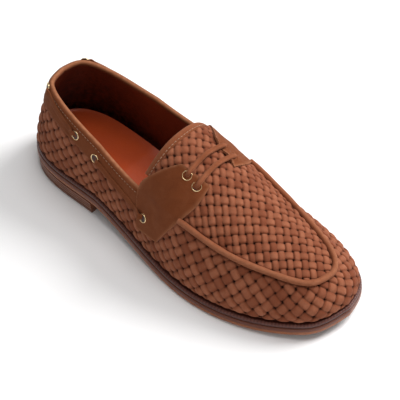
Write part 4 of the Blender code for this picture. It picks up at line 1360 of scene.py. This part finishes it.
# %% Eyelets
EYELET_RADIUS = 0.0034
EYELET_WIRE = 0.00065
EYELETS = {
    "throat_1": (0.563, 1.515, "wing"),
    "throat_2": (0.594, 1.500, "wing"),
    "band_1": (0.492, 0.610, "wing"),
    "band_2": (0.300, 0.735, "band"),
    "band_3": (0.228, 0.800, "band"),
    "band_4": (0.095, 0.920, "band"),
}
# Radius and height above the suede of the eyelet's turned profile.
EYELET_PROFILE = ((0.00375, -0.0002), (0.00375, 0.0002), (0.0036, 0.00045), (0.0034, 0.0005),
                  (0.0032, 0.00042), (0.0031, 0.0002), (0.00308, 0.00012))


def eyelet_place(name, sign):
    """Centre, on the suede, and normal of an eyelet."""
    at, girth, carrier = EYELETS[name]
    t = sign * turn_at_top(at)
    thick = WING_THICK + CLEAR if carrier == "wing" else BAND_THICK
    up = seamless_normal(t, girth)
    return skin(t, girth) + up * (WEAVE_RELIEF + CLEAR + thick), up


def turned(profile, centre, up, count=32):
    """Rings of points round an axis."""
    side = unit(np.cross(up, [0.0, 0.0, 1.0]))
    other = np.cross(up, side)
    angle = np.linspace(0, 2 * math.pi, count, endpoint=False)
    round_it = np.cos(angle)[:, None] * side + np.sin(angle)[:, None] * other
    return np.stack([centre + round_it * radius + up * rise for radius, rise in profile], 1)


for side, sign in (("outer", -1), ("inner", 1)):
    for name in EYELETS:
        centre, up = eyelet_place(name, sign)
        slit = side == "inner" and name.startswith("throat")
        # The hole is a disc with the lining's painted shade at full strength: painted shadow in the
        # eyelet.
        hole = [EYELET_PROFILE[-1], (0.0002, 0.00008)]
        eyelet = add_sheets(f"brass_{side}_{name}", [
            {"points": turned(EYELET_PROFILE, centre, up), "options": {"ring": True}},
            {"points": turned(hole, centre, up), "options": {"ring": True}, "finish": 1,
             "numbers": {"deep": 1.0}},
        ], [SUEDE if slit else BRASS, LINING])
        settle(eyelet, "suede" if slit else "brass", f"eyelet_{side}_{name}")

# %% [markdown]
# One suede thong runs round the collar, out of one eyelet and into the next, as on a
# boat shoe. On the band it lies flat, pressed a little into the suede. It comes up out
# of the hole and over the ring's edge, which leaves only part of the ring to be seen.

# %% Thong on the collar
LACE_WIDTH = 0.005
LACE_THICK = 0.0014
SIDE_LACES = (("front", "band_1", "band_2"), ("rear", "band_3", "band_4"))


def thong_section(count, width, thick):
    """Flat section with rounded edges and a shallow groove along its middle."""
    section = oval(width, thick, count, 3.2)
    groove = np.exp(-(section[:, 0] / (width * 0.16)) ** 2) * (section[:, 1] > 0)
    section[:, 1] -= groove * thick * 0.12
    return section


for side, sign in (("outer", -1), ("inner", 1)):
    for stretch, first, last in SIDE_LACES:
        at_a, girth_a, _ = EYELETS[first]
        at_b, girth_b, _ = EYELETS[last]
        share = np.linspace(0, 1, 120)
        at = at_a + (at_b - at_a) * share
        girth = girth_a + (girth_b - girth_a) * share
        t = sign * turn_at_top(at)
        up = skin_normal(t, girth)
        wing_edge = np.clip((at - WING_EDGES[1][0] + 0.004) / 0.012, 0, 1)
        run = np.linalg.norm(skin(t, girth) - skin(t, girth)[0], axis=1)
        far = run[-1] - run
        near = np.minimum(run if first != "band_1" else run + 1, far)
        over_ring = np.exp(-((near - 0.0036) / 0.0018) ** 2) * 0.0009
        into_hole = np.clip(1 - near / 0.0022, 0, 1) * 0.0022
        lift = BAND_LIFT + LACE_THICK * 0.30 + over_ring - into_hole
        if first == "band_1":
            start_rise = (WING_THICK - 0.0004) * wing_edge
            dive = np.clip(1 - run / 0.0022, 0, 1) * 0.0030
            over = np.exp(-((run - 0.0036) / 0.0018) ** 2) * 0.0009
            lift = lift + start_rise - dive + over
        path = skin(t, girth) + up * lift[:, None]
        narrow = 1 - 0.30 * np.clip(1 - near / 0.005, 0, 1)
        section = thong_section(20, LACE_WIDTH, LACE_THICK)[None] * np.ones((120, 1, 1))
        section[..., 0] *= narrow[:, None]
        rub = np.repeat((np.abs(thong_section(20, 1, 1)[:, 0]) * 1.1)[None] ** 3, 120, 0)
        lace = add_sheets(f"thong_{side}_{stretch}", [
            {"points": sweep(path, up, section), "options": {"tube": True},
             "numbers": {"edge": rub}}], [SUEDE])
        settle(lace, "thong", f"lace_{side}_{stretch}")

# %% [markdown]
# Two bars of the same thong cross the tongue. Each comes up out of an eyelet, rolls into
# a round cord under its own pull, and goes down through the eyelet on the far side.

# %% Lace bars
BAR_RADIUS = 0.0019
BAR_STEPS = 90
for name in ("throat_1", "throat_2"):
    left, left_up = eyelet_place(name, -1)
    right, right_up = eyelet_place(name, 1)
    ridge_top = skin(turn_at_top(EYELETS[name][0]), 2.0)[2] + WEAVE_RELIEF + BAR_RADIUS + 2 * CLEAR
    rise = EYELET_WIRE + BAR_RADIUS + CLEAR
    across = unit(right - left)
    middle = (left + right) / 2
    middle[2] = max(ridge_top, (left[2] + right[2]) / 2 + rise) + 0.0004
    quarter_left = left * 0.72 + right * 0.28
    quarter_left[2] = (left + left_up * rise)[2] * 0.35 + middle[2] * 0.65
    quarter_right = left * 0.28 + right * 0.72
    quarter_right[2] = (right + right_up * rise)[2] * 0.35 + middle[2] * 0.65
    controls = [left - left_up * 0.0012, left + left_up * 0.0016 + across * 0.0012,
                quarter_left, middle, quarter_right,
                right + right_up * 0.0016 - across * 0.0012, right - right_up * 0.0012]
    path = curve_through(controls, BAR_STEPS)
    angle = np.linspace(0, 2 * math.pi, 16, endpoint=False)
    twist = np.linspace(0, 2.2, BAR_STEPS)
    seam = 1 - 0.16 * np.exp(-((np.angle(np.exp(1j * (angle[None] - twist[:, None]))) / 0.45) ** 2))
    section = np.stack([np.cos(angle) * seam * BAR_RADIUS * 1.05,
                        np.sin(angle) * seam * BAR_RADIUS * 0.92], -1)
    bar = add_sheets(f"thong_bar_{name[-1]}", [
        {"points": sweep(path, np.repeat([[0.0, 0.0, 1.0]], BAR_STEPS, 0), section),
         "options": {"tube": True}, "numbers": {"edge": np.clip(seam - 0.9, 0, 1) * 3}},
    ], [PIPING_SUEDE])
    settle(bar, "thong", f"lace_bar_{name[-1]}")

# %% [markdown]
# Stitches give the scale. They run along the topline below the roll and round the bound
# edge of the tongue. A texture could draw them, but each one here is a small arched
# capsule of thread that catches the light.

# %% Stitches
def band_line(depth, lift):
    """Path round the band at a depth below the topline."""
    share = np.linspace(-1, 1, 500)
    girth_guess = 1 - depth * (1 - band_lower(share * 0.45))
    t = share * band_end(girth_guess) * 0.995
    s = 1 - depth * (1 - band_lower(t))
    up = skin_normal(t, np.minimum(s, 0.97))
    return skin(t, s) + up * lift, up


def wing_line(sign, p, q_from, q_to, inset_lift=0.0):
    """Path up a wing at p."""
    q = np.linspace(q_from, q_to, 120)
    t, girth = wing_point(np.full(120, p), q)
    up = seamless_normal(sign * t, girth)
    wave = crease_height(np.full(120, p), q, WING_CREASES, 0.030, 0.065)
    lift = wing_lift + WING_THICK + wave + inset_lift
    return skin(sign * t, girth) + up * lift[:, None], up


topline = band_line(0.27, BAND_LIFT - 0.0005)
binding_t = turn_at_top(tongue_back(binding_w) - BINDING_WIDTH * 0.35 / LENGTH)
binding_rise = tongue_rise(np.interp(binding_t, TURNS_FINE, TOP_FINE))
binding_t = np.where(binding_w < 0, -binding_t, binding_t)
binding_up = skin_normal(binding_t, 2 - np.abs(binding_w))
binding_lift = BINDING_THICK / 2 - WALL / 2 + 0.0004 + binding_rise
binding_line = skin(binding_t, 2 - np.abs(binding_w)) + binding_up * binding_lift[:, None]
stitches = stitch_mesh("thread_stitches", [topline, (binding_line, binding_up)])
settle(stitches, "thong")

# %% Finish
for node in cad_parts:
    print("node", node)
